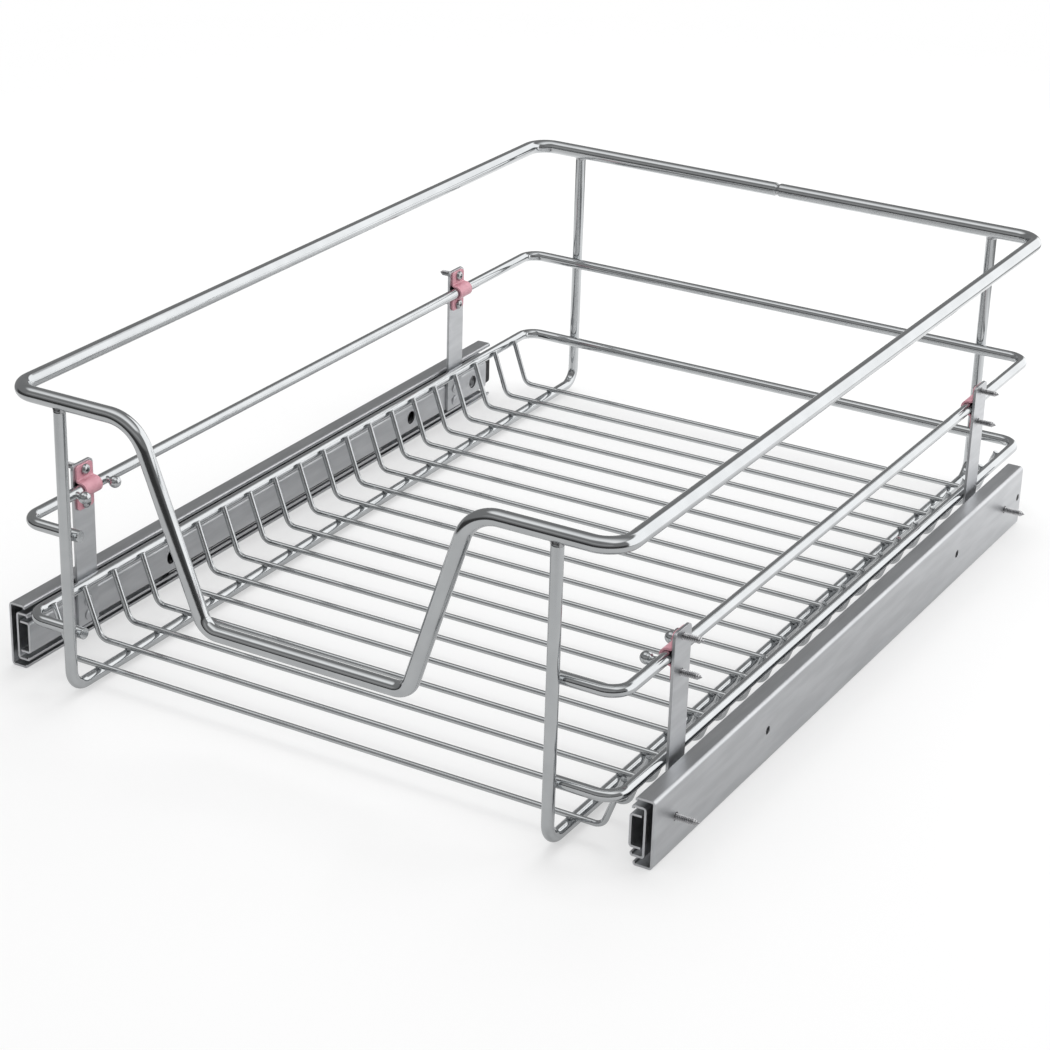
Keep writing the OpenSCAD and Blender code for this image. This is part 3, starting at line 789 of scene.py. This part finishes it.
on_posts = [((sx * post_x, sy * (post_y - frame_wire / 2), z), turned((1, 0, 0), (0, -sy, 0)))
            for sx in (-1, 1) for sy in (-1, 1) for z in ring_z.values()]
welds("ring_to_post_welds", post_bead, on_posts)
print("beads:", len(on_frames) + len(on_ring) + len(on_posts))

# %% [markdown]
# A post stands upright under the rim, and its flat end is welded all round. A torus would leave a
# gap under the round wire. Here the fillet climbs from the post's side onto the underside of the
# rim, so its upper edge follows the rim's round.

# %% Fillets on top of the posts
FILLET_TOP = 1.4 * MM
FILLET_ROWS = 8
FILLET_CLIMB = 1.5


def saddle_bead(name, stem, wire, fillet, drop, offset=0):
    """Fillet round the end of an upright stem under a wire along X, offset by that much in Y;
    stem and wire are radii, and they touch at the origin."""
    widest = math.sqrt(wire ** 2 - (wire - FILLET_TOP) ** 2)
    rings = []
    for row in range(FILLET_ROWS + 1):
        t = row / FILLET_ROWS
        ring = []
        for x, y, _ in circle(stem + fillet * (1 - math.sqrt(1 - t ** 2)), 0, BEAD_SIDES):
            y += (max(-widest, min(widest, y - offset)) + offset - y) * t
            wire_face = sag(wire, min(widest, abs(y - offset)))
            ring.append((x, y, -drop * (1 - t) + (wire_face + BEAD_BITE) * t ** FILLET_CLIMB))
        rings.append(ring)
    return solids(name, skin(rings))


tops = [((sx * post_x, sy * post_y, rim_z - rim_wire / 2), (0, 0, 0 if sy > 0 else math.pi))
        for sx in (-1, 1) for sy in (-1, 1)]
top_bead = saddle_bead("post_top_bead", frame_wire / 2, rim_wire / 2,
                       fillet=0.6 * MM, drop=1.1 * MM, offset=rim_y - post_y)
welds("post_top_welds", top_bead, tops)
print("post fillets:", len(tops))

# %% [markdown]
# The ends of the rim's wire are chamfered before they are butt-welded, so that the weld reaches
# deep. The bead stays below the wire's surface, which leaves a groove that can be seen and felt.
# The bead is turned about one axis, so it is made as on a lathe: a profile that goes round.

# %% Butt weld of the rim
BAND_SUNK = 0.65 * MM
BAND_HOLLOW = 0.2 * MM
BAND_BITE = 0.1 * MM


def lathe(name, profile, sides):
    """A closed solid of revolution about Z from (radius, height) points, from the bottom up."""
    return solids(name, skin([circle(radius, height, sides) for radius, height in profile]))


band = rim_wire / 2 - BAND_SUNK
groove = butt_half + BAND_BITE
band_profile = [(0, -groove), (band - BAND_HOLLOW, -groove), (band, -butt_half / 2), (band, butt_half / 2),
                (band - BAND_HOLLOW, groove), (0, groove)]
welds("rim_weld_band", lathe("rim_weld_band", band_profile, 48),
      [((0, rim_y, rim_z), turned((0, 0, -1), (1, 0, 0)))], "rim_butt_weld")
print("butt weld", round(2 * butt_half / MM, 2), "mm wide")

# %% [markdown]
# ## Locating pins
# Two ball-ended pins on the inside of the middle ring keep the front clip from sliding along it.
# A pin is a small turned part, so it is a lathe profile too: a short stem and a ball. The same
# kind of fillet as on the posts runs round its foot.

# %% Ball-ended pins
PIN_STEM = 3.2 * MM
PIN_ROOT = 0.6 * MM
PIN_STEPS = 16


def ball_profile(diameter, steps, height=0, start=0):
    """Profile of a ball whose middle is at height, from the angle start above its lowest point."""
    turns = [start + (math.pi - start) * k / steps for k in range(steps + 1)]
    return [(diameter / 2 * math.sin(a), height - diameter / 2 * math.cos(a)) for a in turns]


def outward(sign):
    """Turn of a piece whose Z points along X, to the right or to the left."""
    return turned((0, 0, 1), (sign, 0, 0))


pin_ball = extent("right_locating_pins").z
pin_low, pin_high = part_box("right_locating_pins")
pin_length = ring_x - ring_wire / 2 - (pin_low.x + pin_ball / 2)
pin_y = [pin_low.y + pin_ball / 2, pin_high.y - pin_ball / 2]
pin_profile = [(0, -PIN_ROOT), (PIN_STEM / 2, -PIN_ROOT),
               *ball_profile(pin_ball, PIN_STEPS, pin_length, math.asin(PIN_STEM / pin_ball))]
pin_mesh = lathe("pin", pin_profile, 36)
pin_feet = {sign: [(sign * (ring_x - ring_wire / 2), y, ring_z["middle_ring"]) for y in pin_y]
            for side, sign in SIDES}
for side, sign in SIDES:
    copies(f"{side}_ball_pins", pin_mesh, [(foot, outward(-sign)) for foot in pin_feet[sign]], chrome,
           "basket", "chrome_wire", f"{side}_locating_pins")
pin_bead = saddle_bead("pin_bead", PIN_STEM / 2, ring_wire / 2, fillet=0.5 * MM, drop=0.7 * MM)
welds("pin_foot_welds", pin_bead,
      [(foot, turned((0, 1, 0), (sign, 0, 0))) for sign in pin_feet for foot in pin_feet[sign]])
print("pins reach", round(pin_length / MM, 2), "mm")

# %% [markdown]
# ## Sheet metal
# Clips, brackets and the members of the runners are all made the same way: a flat strip is bent
# along a line. Extruding a drawn section would do, but the bends would have to be drawn by hand.
# The recipe sweeps the sheet's thickness and width along the bent line instead. The line is drawn
# with X out from the basket and Y up, and the strip's width runs along the wire or the runner.

# %% Recipe for a bent strip


def strip_recipe():
    recipe = Recipe("bent_strip", Sheet="Float", Width="Float", Bend_Steps="Int")
    level = recipe.node("GeometryNodeSetCurveNormal", {"mode": "Z_UP"}, Curve=recipe.bent_path())
    section = recipe.node("GeometryNodeCurvePrimitiveQuadrilateral", Width=recipe.given["Sheet"],
                          Height=recipe.given["Width"])
    strip = recipe.node("GeometryNodeCurveToMesh", Curve=level, Profile_Curve=section, Fill_Caps=True)
    return recipe.finish(strip)


strip_tree = strip_recipe()
print("strip recipe:", len(strip_tree.nodes), "nodes")

# %% [markdown]
# Real sheet is never sharp: its holes are punched and its cut edges are tumbled a little round. A
# Boolean modifier punches, and a Bevel modifier breaks the edges, which catch the light as thin
# bright lines. Weighted normals then let the large flat faces decide the shading, so that a flat
# sheet looks flat right up to its edge.

# %% Broken edges and even shading
EDGE_BREAK = 0.14 * MM
BREAK_STEPS = 2
CRISP_ANGLE = math.radians(50)


def even_shading(obj):
    """Shades smooth, keeps sharp edges sharp, and lets large faces decide the shading of small ones."""
    mesh = obj.data
    if "custom_normal" in mesh.attributes:
        mesh.attributes.remove(mesh.attributes["custom_normal"])
    mesh.shade_smooth()
    mesh.set_sharp_from_angle(angle=CRISP_ANGLE)
    weighted = obj.modifiers.new("even_shading", "WEIGHTED_NORMAL")
    weighted.keep_sharp = True
    return settle(obj)


def finished(obj, cutter=None, width=EDGE_BREAK):
    """Cuts with the given mesh, rounds the sharp edges and evens out the shading."""
    if cutter:
        holder = show("cutter", cutter)
        cut = obj.modifiers.new("cut", "BOOLEAN")
        cut.object = holder
        cut.operation = "DIFFERENCE"
        cut.solver = "EXACT"
    if width:
        edge_break = obj.modifiers.new("edge_break", "BEVEL")
        edge_break.width = width
        edge_break.segments = BREAK_STEPS
        edge_break.limit_method = "ANGLE"
        edge_break.angle_limit = SHARP_ANGLE
        edge_break.use_clamp_overlap = False
    settle(obj)
    if cutter:
        bpy.data.objects.remove(holder)
    return even_shading(obj)


print("edges are broken by", round(EDGE_BREAK / MM, 2), "mm")

# %% [markdown]
# A hole is cut by a punch that goes straight through. The round and oval ones are outlines of
# points, and all the punches of one piece are one mesh, so that a single Boolean cuts them.

# %% Punches for holes
HOLE_STEPS = 32


def oval(y, z, diameter, stretch_z=0, steps=HOLE_STEPS):
    """Outline of a round hole, or of one that is longer along Z by stretch_z."""
    points = []
    for k in range(steps):
        angle = 2 * math.pi * (k + 0.5) / steps
        shift = math.copysign(stretch_z / 2, math.sin(angle))
        points.append((y + diameter / 2 * math.cos(angle), z + diameter / 2 * math.sin(angle) + shift))
    return points


def punches(outlines, reach):
    """One cutter mesh with a straight punch along X for every outline of (y, z) points."""
    return solids("punches", *(skin([[(x, y, z) for y, z in outline] for x in (-reach, reach)])
                               for outline in outlines))


print("holes have", HOLE_STEPS, "sides or more")

# %% [markdown]
# `sheet_part` is the whole way from a bent line to a finished piece: it bends, rounds, punches and
# breaks the edges. Only right-hand pieces are made, and the left-hand ones are their mirror
# images. A negative scale on the object would turn its faces inside out when it is applied. So
# the copy's mesh is mirrored and its faces are flipped back at once.

# %% Sheet parts, left and right
TOUCHING = 1e-6
CORNER_STEPS = 8
OUT_UP_ALONG = Matrix(((1, 0, 0), (0, 0, -1), (0, 1, 0))).to_4x4()


def round_corners(mesh, radius, only_top):
    """Rounds the corners of a strip's two ends, or of its upper end only."""
    shape = bmesh.new()
    shape.from_mesh(mesh)
    side = max(v.co.y for v in shape.verts)
    heights = [v.co.z for v in shape.verts]
    ends = [max(heights)] if only_top else [max(heights), min(heights)]
    corner_verts = {v for v in shape.verts if abs(abs(v.co.y) - side) < TOUCHING
                    and min(abs(v.co.z - end) for end in ends) < TOUCHING}
    across_sheet = [e for e in shape.edges if corner_verts.issuperset(e.verts)
                    and abs(e.verts[0].co.x - e.verts[1].co.x) > 10 * TOUCHING]
    bmesh.ops.bevel(shape, geom=across_sheet, offset=radius, segments=CORNER_STEPS, profile=0.5,
                    affect="EDGES")
    shape.to_mesh(mesh)
    shape.free()


def sheet_part(name, corners, bends, sheet, width, place, material, steps=6, rounded=0,
               only_top=False, holes=()):
    """A strip of sheet bent along (out, up) corners and centred at place, for the right-hand side."""
    path = polyline(name, [((x, z, 0), bend) for (x, z), bend in zip(corners, (0, *bends, 0))])
    strip = make(name, path, strip_tree, material, Sheet=sheet, Width=width, Bend_Steps=steps)
    strip.data.transform(OUT_UP_ALONG)
    if rounded:
        round_corners(strip.data, rounded, only_top)
    strip.data.transform(Matrix.Translation(place))
    return finished(strip, punches(holes, reach=1) if holes else None)


def fit_pair(obj, body, slot, node):
    """Fits a right-hand piece for its CAD node, and its mirror image for the left-hand node."""
    other = show(obj.name.replace("right", "left"), obj.data.copy())
    other.data.name = other.name
    other.data.transform(Matrix.Scale(-1, 4, (1, 0, 0)))
    other.data.flip_normals()
    fit(even_shading(other), body, slot, node.replace("right", "left"))
    fit(obj, body, slot, node)


print("corners are rounded in", CORNER_STEPS, "steps")

# %% [markdown]
# The members are roll-formed and bright zinc plated. Rolling leaves faint lines along the sheet,
# and the plate's grey is never quite even. An image could show the lines, but noise that is
# stretched along the runner needs no unwrapping. The clips have a satin pink coat, and the rubber
# is dull and nearly black.

# %% Finishes of the fittings
zinc = finish_material("zinc_plate", tones=((0.53, 0.54, 0.555), (0.60, 0.61, 0.625)), patches=70,
                       stretch=(3, 0.4, 3), polish=(0.34, 0.46), relief=120, depth=0.004 * MM,
                       rolling=(20, 0.3, 20))
screw_steel = finish_material("screw_steel", tones=((0.36, 0.36, 0.37), (0.52, 0.52, 0.53)),
                              patches=500, polish=(0.16, 0.30), relief=1500, depth=0.015 * MM)
cage_steel = finish_material("cage_steel", tones=((0.42, 0.42, 0.42), (0.55, 0.55, 0.56)), patches=200,
                             stretch=(4, 0.3, 4), polish=(0.28, 0.42), relief=300, depth=0.01 * MM,
                             rolling=(20, 0.5, 20))
ball_steel = finish_material("ball_steel", tones=((0.60, 0.61, 0.62), (0.70, 0.71, 0.72)), patches=300,
                             polish=(0.05, 0.1), relief=400, depth=0.002 * MM)
pink = finish_material("pink_clip", tones=((0.655, 0.305, 0.365), (0.715, 0.355, 0.415)), patches=260,
                       polish=(0.34, 0.48), relief=2500, depth=0.012 * MM, haze=3, detail=(3, 3),
                       metallic=0.0, Coat_Weight=0.3, Coat_Roughness=0.25)
rubber = finish_material("bumper_rubber", tones=((0.020, 0.020, 0.021), (0.036, 0.036, 0.038)),
                         patches=300, polish=(0.62, 0.8), relief=3000, depth=0.03 * MM, haze=3,
                         detail=(3, 3), metallic=0.0, Coat_Roughness=0.25)
print("finishes:", len(bpy.data.materials))

# %% [markdown]
# ## Clips and brackets
# A clip is a strip with a hump in its middle that goes over the middle ring; its two flat ends are
# screwed to a bracket. The screw holes are oval, so that the basket can be set a little higher or
# lower. The bracket is a flat plate that stands on the runner. Both are bent strips, and their
# sizes come from the frame, so that the hump always closes round the ring.

# %% Clips and brackets
CLIP_SHEET = 1.2 * MM
CLIP_FILLET = 1.0 * MM
CLIP_CORNER = 2 * MM
CLIP_EDGE = 3 * MM
CLIP_SLOT = 0.9 * MM
SCREW_HOLE = 3.6 * MM
BRACKET_CORNER = 3 * MM
RIVET_SPACING = 8 * MM
RIVET_D = 3.2 * MM

clip_size = extent("front_right_clip")
bracket_size = extent("front_right_bracket")
side_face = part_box("front_right_bracket")[0].x
clip_z = middle("front_right_clip").z
clip_hole = clip_size.z / 2 - CLIP_EDGE
clip_holes_z = (clip_z - clip_hole, clip_z + clip_hole)
clip_mid = CLIP_SHEET / 2
hump_r = clip_size.x - ring_wire / 2 - clip_mid
hump_top = -ring_wire / 2 - hump_r
hump_foot = CLIP_FILLET + clip_mid
runner_z = middle("right_cabinet_member").z
rivets_z = (runner_z - RIVET_SPACING / 2, runner_z + RIVET_SPACING / 2)
end_y = {end: middle(f"{end}_right_clip").y for end in ("front", "rear")}
clip_corners = [(-clip_mid, clip_size.z / 2), (-clip_mid, hump_r), (hump_top, hump_r),
                (hump_top, -hump_r), (-clip_mid, -hump_r), (-clip_mid, -clip_size.z / 2)]
bracket_corners = [(0, bracket_size.z / 2), (0, -bracket_size.z / 2)]

for end, y in end_y.items():
    clip = sheet_part(f"pink_{end}_right_clip", clip_corners, [hump_foot, hump_r, hump_r, hump_foot],
                      CLIP_SHEET, clip_size.y, (side_face, y, clip_z), pink, steps=12,
                      rounded=CLIP_CORNER, holes=[oval(y, z, SCREW_HOLE, CLIP_SLOT) for z in clip_holes_z])
    fit_pair(clip, "basket", "pink_clip", f"{end}_right_clip")

    holes = [oval(y, z, SCREW_HOLE) for z in clip_holes_z] + [oval(y, z, RIVET_D) for z in rivets_z]
    place = (side_face + bracket_size.x / 2, y, middle(f"{end}_right_bracket").z)
    bracket = sheet_part(f"plated_{end}_right_bracket", bracket_corners, [], bracket_size.x,
                         bracket_size.y, place, zinc, rounded=BRACKET_CORNER, only_top=True, holes=holes)
    fit_pair(bracket, "basket", "zinc_plate", f"{end}_right_bracket")
print("clip and bracket faces:", len(clip.data.polygons), len(bracket.data.polygons))

# %% [markdown]
# ## Screws and rivets
# The screws are self-tapping, with a pan head and a cross recess. Rings stacked on a shank would
# look like a thread, but this one is a real helix: the radius rises and falls as the surface goes
# round, one pitch for every turn. It fades into the point at one end and runs out under the head
# at the other.

# %% Head and thread of a screw
SCREW_D = 3.5 * MM
SCREW_CORE = 2.5 * MM
SCREW_LENGTH = 13 * MM
SCREW_POINT = 2.2 * MM
SCREW_NECK = 0.25 * MM
SCREW_RIDGES = 12
RIDGE_WIDTH = 0.32
THREAD_SIDES = 24
ROWS_PER_PITCH = 8
HEAD_D = 5.8 * MM
HEAD_H = 2.1 * MM
HEAD_BREAK = 0.1 * MM
HEAD_RIM = 0.22
HEAD_STEPS = 8
ROUNDNESS = 0.8


def pan_head():
    """Rings of a screw's head, from its top down to the neck under it."""
    turns = [math.pi / 2 * k / HEAD_STEPS for k in range(HEAD_STEPS + 1)]
    profile = [(HEAD_D / 2 * math.sin(a) ** ROUNDNESS, -HEAD_H * (HEAD_RIM + (1 - HEAD_RIM) * math.cos(a)))
               for a in turns]
    profile += [(HEAD_D / 2, -HEAD_BREAK), (HEAD_D / 2 - HEAD_BREAK, 0), (SCREW_CORE / 2 + SCREW_NECK, 0)]
    return [circle(radius, z, THREAD_SIDES) for radius, z in profile]


def thread():
    """Rings of a threaded shank along +Z, down to its point."""
    pitch = (SCREW_LENGTH - SCREW_POINT) / SCREW_RIDGES
    rows = int(SCREW_LENGTH / pitch * ROWS_PER_PITCH)
    rings = []
    for row in range(1, rows):
        z = SCREW_LENGTH * row / rows
        taper = min(1, (SCREW_LENGTH - z) / SCREW_POINT) ** ROUNDNESS
        ridge_height = (SCREW_D - SCREW_CORE) / 2 * min(1, z / pitch)
        ring = []
        for k, (x, y, _) in enumerate(circle(1, z, THREAD_SIDES)):
            phase = (z / pitch - k / THREAD_SIDES) % 1
            ridge = max(0, 1 - abs(phase - 0.5) / RIDGE_WIDTH)
            radius = (SCREW_CORE / 2 + ridge_height * ridge) * taper
            ring.append((radius * x, radius * y, z))
        rings.append(ring)
    return [*rings, [(0, 0, SCREW_LENGTH)]]


print("thread of", SCREW_RIDGES, "ridges")

# %% [markdown]
# The cross recess is pressed into the head. It could be drawn into the head's faces, but it is
# easier to cut: the punch is a cross that narrows downwards, so the walls of the recess slope.

# %% Cross recess, and the finished screw
CROSS_ARM = 0.9 * MM
CROSS_SPAN = 3.0 * MM
CROSS_DEPTH = 1.2 * MM
CROSS_ROOT = 0.1 * MM
CROSS_ABOVE = 0.4 * MM
CROSS_TAPER = (1.15, 0.55)


def cross_punch():
    """A tapered cross that cuts the recess into a screw's head, from above."""
    arm, inner = CROSS_ARM / 2, CROSS_ARM / 2 + CROSS_ROOT
    outline = []
    for quarter in range(4):
        turn = Matrix.Rotation(math.pi / 2 * quarter, 2)
        outline += [turn @ Vector(p) for p in ((CROSS_SPAN / 2, -arm), (CROSS_SPAN / 2, arm), (inner, inner))]
    levels = zip(CROSS_TAPER, (-HEAD_H - CROSS_ABOVE, -HEAD_H + CROSS_DEPTH))
    return solids("cross_punch", skin([[(x * s, y * s, z) for x, y in outline] for s, z in levels]))


screw = show("screw", solids("screw", skin(pan_head() + thread())))
screw_mesh = finished(screw, cross_punch(), width=0).data
bpy.data.objects.remove(screw)
print("screw:", len(screw_mesh.polygons), "faces")

# %% [markdown]
# Two screws hold each clip, and one screw at each end holds each cabinet member. A screw on the
# left is turned half round and not mirrored, or its thread would be left-handed.

# %% Place the screws
MEMBER_SHEET = 1.2 * MM


def on_both_sides(x, places_y, places_z):
    """Places of fasteners that point outwards, on both sides of the basket."""
    return [((sign * x, y, z), outward(sign)) for sign in (-1, 1) for y in places_y for z in places_z]


clip_places = on_both_sides(side_face - CLIP_SHEET, end_y.values(), clip_holes_z)
copies("clip_screw_set", screw_mesh, clip_places, screw_steel, "basket", "screw_steel", "clip_screws")

web_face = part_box("right_cabinet_member")[1].x
web_inside = web_face - MEMBER_SHEET
screw_low, screw_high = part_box("runner_screws")
runner_screw_y = (screw_low.y + HEAD_D / 2, screw_high.y - HEAD_D / 2)
runner_places = on_both_sides(web_inside, runner_screw_y, [runner_z])
copies("runner_screw_set", screw_mesh, runner_places, screw_steel, "cabinet_side", "screw_steel",
       "runner_screws")
print("screws:", len(clip_places) + len(runner_places))

# %% [markdown]
# The rivets have a low head inside and a closed end outside. They are turned shapes again, and
# one profile runs from the top of the head, through the two sheets, to the end of the tail.

# %% Rivets
RIVET_HEAD_D = 6 * MM
RIVET_HEAD_H = 1.3 * MM
RIVET_TAIL_D = 5 * MM
RIVET_TAIL_H = 1.2 * MM
RIVET_BREAK = 0.08 * MM
DOME_WALL = 0.3
DOME_STEPS = 8


def dome(radius, height, base, sign):
    """Profile points of a low rounded head that ends on its base."""
    wall = height * DOME_WALL
    points = [(radius * math.sin(a), base + sign * (wall + (height - wall) * math.cos(a)))
              for a in [math.pi / 2 * k / DOME_STEPS for k in range(DOME_STEPS + 1)]]
    return [*points, (radius, base + sign * RIVET_BREAK), (radius - RIVET_BREAK, base)]


grip = bracket_size.x + MEMBER_SHEET
rivet_profile = [*dome(RIVET_HEAD_D / 2, RIVET_HEAD_H, 0, -1), (RIVET_D / 2, 0), (RIVET_D / 2, grip),
                 *reversed(dome(RIVET_TAIL_D / 2, RIVET_TAIL_H, grip, 1))]
rivet_places = on_both_sides(side_face, end_y.values(), rivets_z)
copies("rivet_set", lathe("rivet", rivet_profile, 32), rivet_places, zinc, "basket", "zinc_plate",
       "bracket_rivets")
print("rivets:", len(rivet_places))

# %% [markdown]
# ## Runners
# Each runner has three members of rolled sheet that slide in each other on rows of balls. The
# cabinet member and the middle member are channels with lips that keep the balls in; the drawer
# member is a plain channel that opens away from the basket. Round holes in all three line up, each
# beside a gap between two floor wires, so that a screwdriver reaches the screws. A channel is a
# strip bent along its section, so it comes from the same recipe as the clips.

# %% Members
MEMBER_LIP = 0.8 * MM
MEMBER_BEND = 1.2 * MM
LIP_BEND = 0.75 * MM
MOUNT_HOLE = 4.3 * MM
ACCESS_HOLE = 8 * MM
BUMPER_PEG = 4 * MM
HOLE_GAPS = (0, 4, FLOOR_COUNT - 6, FLOOR_COUNT - 3)
half_sheet = MEMBER_SHEET / 2

hole_y = [(floor_y[k] + floor_y[k + 1]) / 2 for k in HOLE_GAPS]
peg_y = middle("right_rear_bumper").y
extra_holes = {"cabinet": [oval(peg_y, runner_z, BUMPER_PEG)], "middle": [],
               "drawer": [oval(y, z, RIVET_D) for y in end_y.values() for z in rivets_z]}

for member, body, hole in (("cabinet", "cabinet_side", MOUNT_HOLE),
                           ("middle", "middle_members", ACCESS_HOLE),
                           ("drawer", "basket", ACCESS_HOLE)):
    node = f"right_{member}_member"
    low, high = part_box(node)
    near, far = low.x + half_sheet, high.x - half_sheet
    half = (high.z - low.z) / 2 - half_sheet
    lip = half - half_sheet - MEMBER_LIP
    if member == "drawer":
        corners = [(high.x, half), (near, half), (near, -half), (high.x, -half)]
        bends = [MEMBER_BEND] * 2
    else:
        corners = [(near, lip), (near, half), (far, half), (far, -half), (near, -half), (near, -lip)]
        bends = [LIP_BEND, MEMBER_BEND, MEMBER_BEND, LIP_BEND]
    holes = [oval(y, runner_z, hole, steps=40) for y in hole_y] + extra_holes[member]
    piece = sheet_part("rolled_" + node, corners, bends, MEMBER_SHEET, high.y - low.y,
                       (0, (low.y + high.y) / 2, runner_z), zinc, holes=holes)
    fit_pair(piece, body, "zinc_plate", node)
    print(member, "member:", len(piece.data.polygons), "faces")

# %% [markdown]
# The balls run in pairs of rows. They could rest on the middle member alone, but then they would
# bunch up, so a real runner spaces them with strips of thin sheet that have a pocket for each
# ball. A ball is one more lathe profile, and the copies recipe lays it at every place.

# %% Balls and their cages
BALL_COUNT = 9
BALL_SIDES = 24
BALL_STEPS = 14
BALL_ROOM = 0.1 * MM
CAGE_SHEET = 0.6 * MM
CAGE_BREAK = 0.08 * MM
POCKET_SIDES = 32


def upright(outline, z, height):
    """The skin of a solid with upright walls over an outline, its middle at z."""
    return skin([[(x, y, level) for x, y, _ in outline] for level in (z - height / 2, z + height / 2)])


for row, body in (("inner", "inner_cages"), ("outer", "outer_cages")):
    low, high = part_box(f"right_{row}_balls")
    ball = high.x - low.x
    pitch = (high.y - low.y - ball) / (BALL_COUNT - 1)
    rows = (low.z + ball / 2, high.z - ball / 2)
    ball_x = (low.x + high.x) / 2
    ball_y = [low.y + ball / 2 + k * pitch for k in range(BALL_COUNT)]
    piece = lathe("ball", ball_profile(ball, BALL_STEPS), BALL_SIDES)
    for side, sign in SIDES:
        places = [((sign * ball_x, y, z), (0, 0, 0)) for z in rows for y in ball_y]
        copies(f"polished_{side}_{row}_balls", piece, places, ball_steel, body, "ball_steel",
               f"{side}_{row}_balls")

    node = f"right_{row}_cage"
    low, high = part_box(node)
    outline = ((low.x, low.y, 0), (high.x, low.y, 0), (high.x, high.y, 0), (low.x, high.y, 0))
    cage = show("rolled_" + node, solids("cage", *(upright(outline, z, CAGE_SHEET) for z in rows)))
    cage.data.materials.append(cage_steel)
    pockets = [upright(circle(ball / 2 + BALL_ROOM, 0, POCKET_SIDES, ball_x, y), z, 4 * CAGE_SHEET)
               for z in rows for y in ball_y]
    fit_pair(finished(cage, solids("pockets", *pockets), CAGE_BREAK), body, "cage_steel", node)
    print(row, "row:", len(ball_y), "balls of", round(ball / MM, 2), "mm")

# %% [markdown]
# A rubber block at the back of each cabinet member stops the other two. It is moulded in one piece
# with the peg that holds it in a hole of the web. Its corners have one radius and its other edges
# another. A Bevel modifier would need the edges marked for that, so the mesh itself is bevelled,
# first its corners and then the rest.

# %% Bumpers
BUMPER_CORNER = 2 * MM
BUMPER_BREAK = 0.5 * MM
BUMPER_ANGLE = math.radians(60)
PEG_HEAD = 0.5 * MM
PEG_PLAY = 0.03 * MM
PEG_ROOT = 1 * MM


def rounded_block(shape, size, place):
    """Adds a moulded block to shape: corners rounded along X, and then its other edges broken."""
    bmesh.ops.create_cube(shape, size=1, matrix=Matrix.Translation(place) @ Matrix.Diagonal((*size, 1)))
    along = [e for e in shape.edges if abs(e.verts[0].co.x - e.verts[1].co.x) > TOUCHING]
    bmesh.ops.bevel(shape, geom=along, offset=BUMPER_CORNER, segments=6, profile=0.5, affect="EDGES")
    shape.normal_update()
    rim = [e for e in shape.edges if len(e.link_faces) == 2 and e.calc_face_angle() > BUMPER_ANGLE]
    bmesh.ops.bevel(shape, geom=rim, offset=BUMPER_BREAK, segments=3, profile=0.5, affect="EDGES")


low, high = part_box("right_rear_bumper")
block_size = (web_inside - low.x, high.y - low.y, high.z - low.z)
peg_reach = high.x - web_inside
peg_r = BUMPER_PEG / 2 - PEG_PLAY
peg_profile = [(0, -PEG_ROOT), (peg_r, -PEG_ROOT), (peg_r, peg_reach - PEG_HEAD),
               (peg_r - PEG_HEAD / 3, peg_reach - PEG_HEAD / 3), (peg_r - PEG_HEAD, peg_reach),
               (0, peg_reach)]
peg = lathe("peg", peg_profile, 28)
peg.transform(Matrix.Translation((web_inside, peg_y, runner_z)) @ Matrix.Rotation(math.pi / 2, 4, "Y"))
shape = bmesh.new()
rounded_block(shape, block_size, ((low.x + web_inside) / 2, (low.y + high.y) / 2, (low.z + high.z) / 2))
shape.from_mesh(peg)
block = show("rubber_right_bumper", bpy.data.meshes.new("bumper"))
shape.to_mesh(block.data)
shape.free()
block.data.materials.append(rubber)
fit_pair(finished(block, width=0), "cabinet_side", "bumper_rubber", "right_rear_bumper")
print("bumper:", [round(v / MM, 1) for v in block_size], "mm, peg", round(peg_reach / MM, 2), "mm")
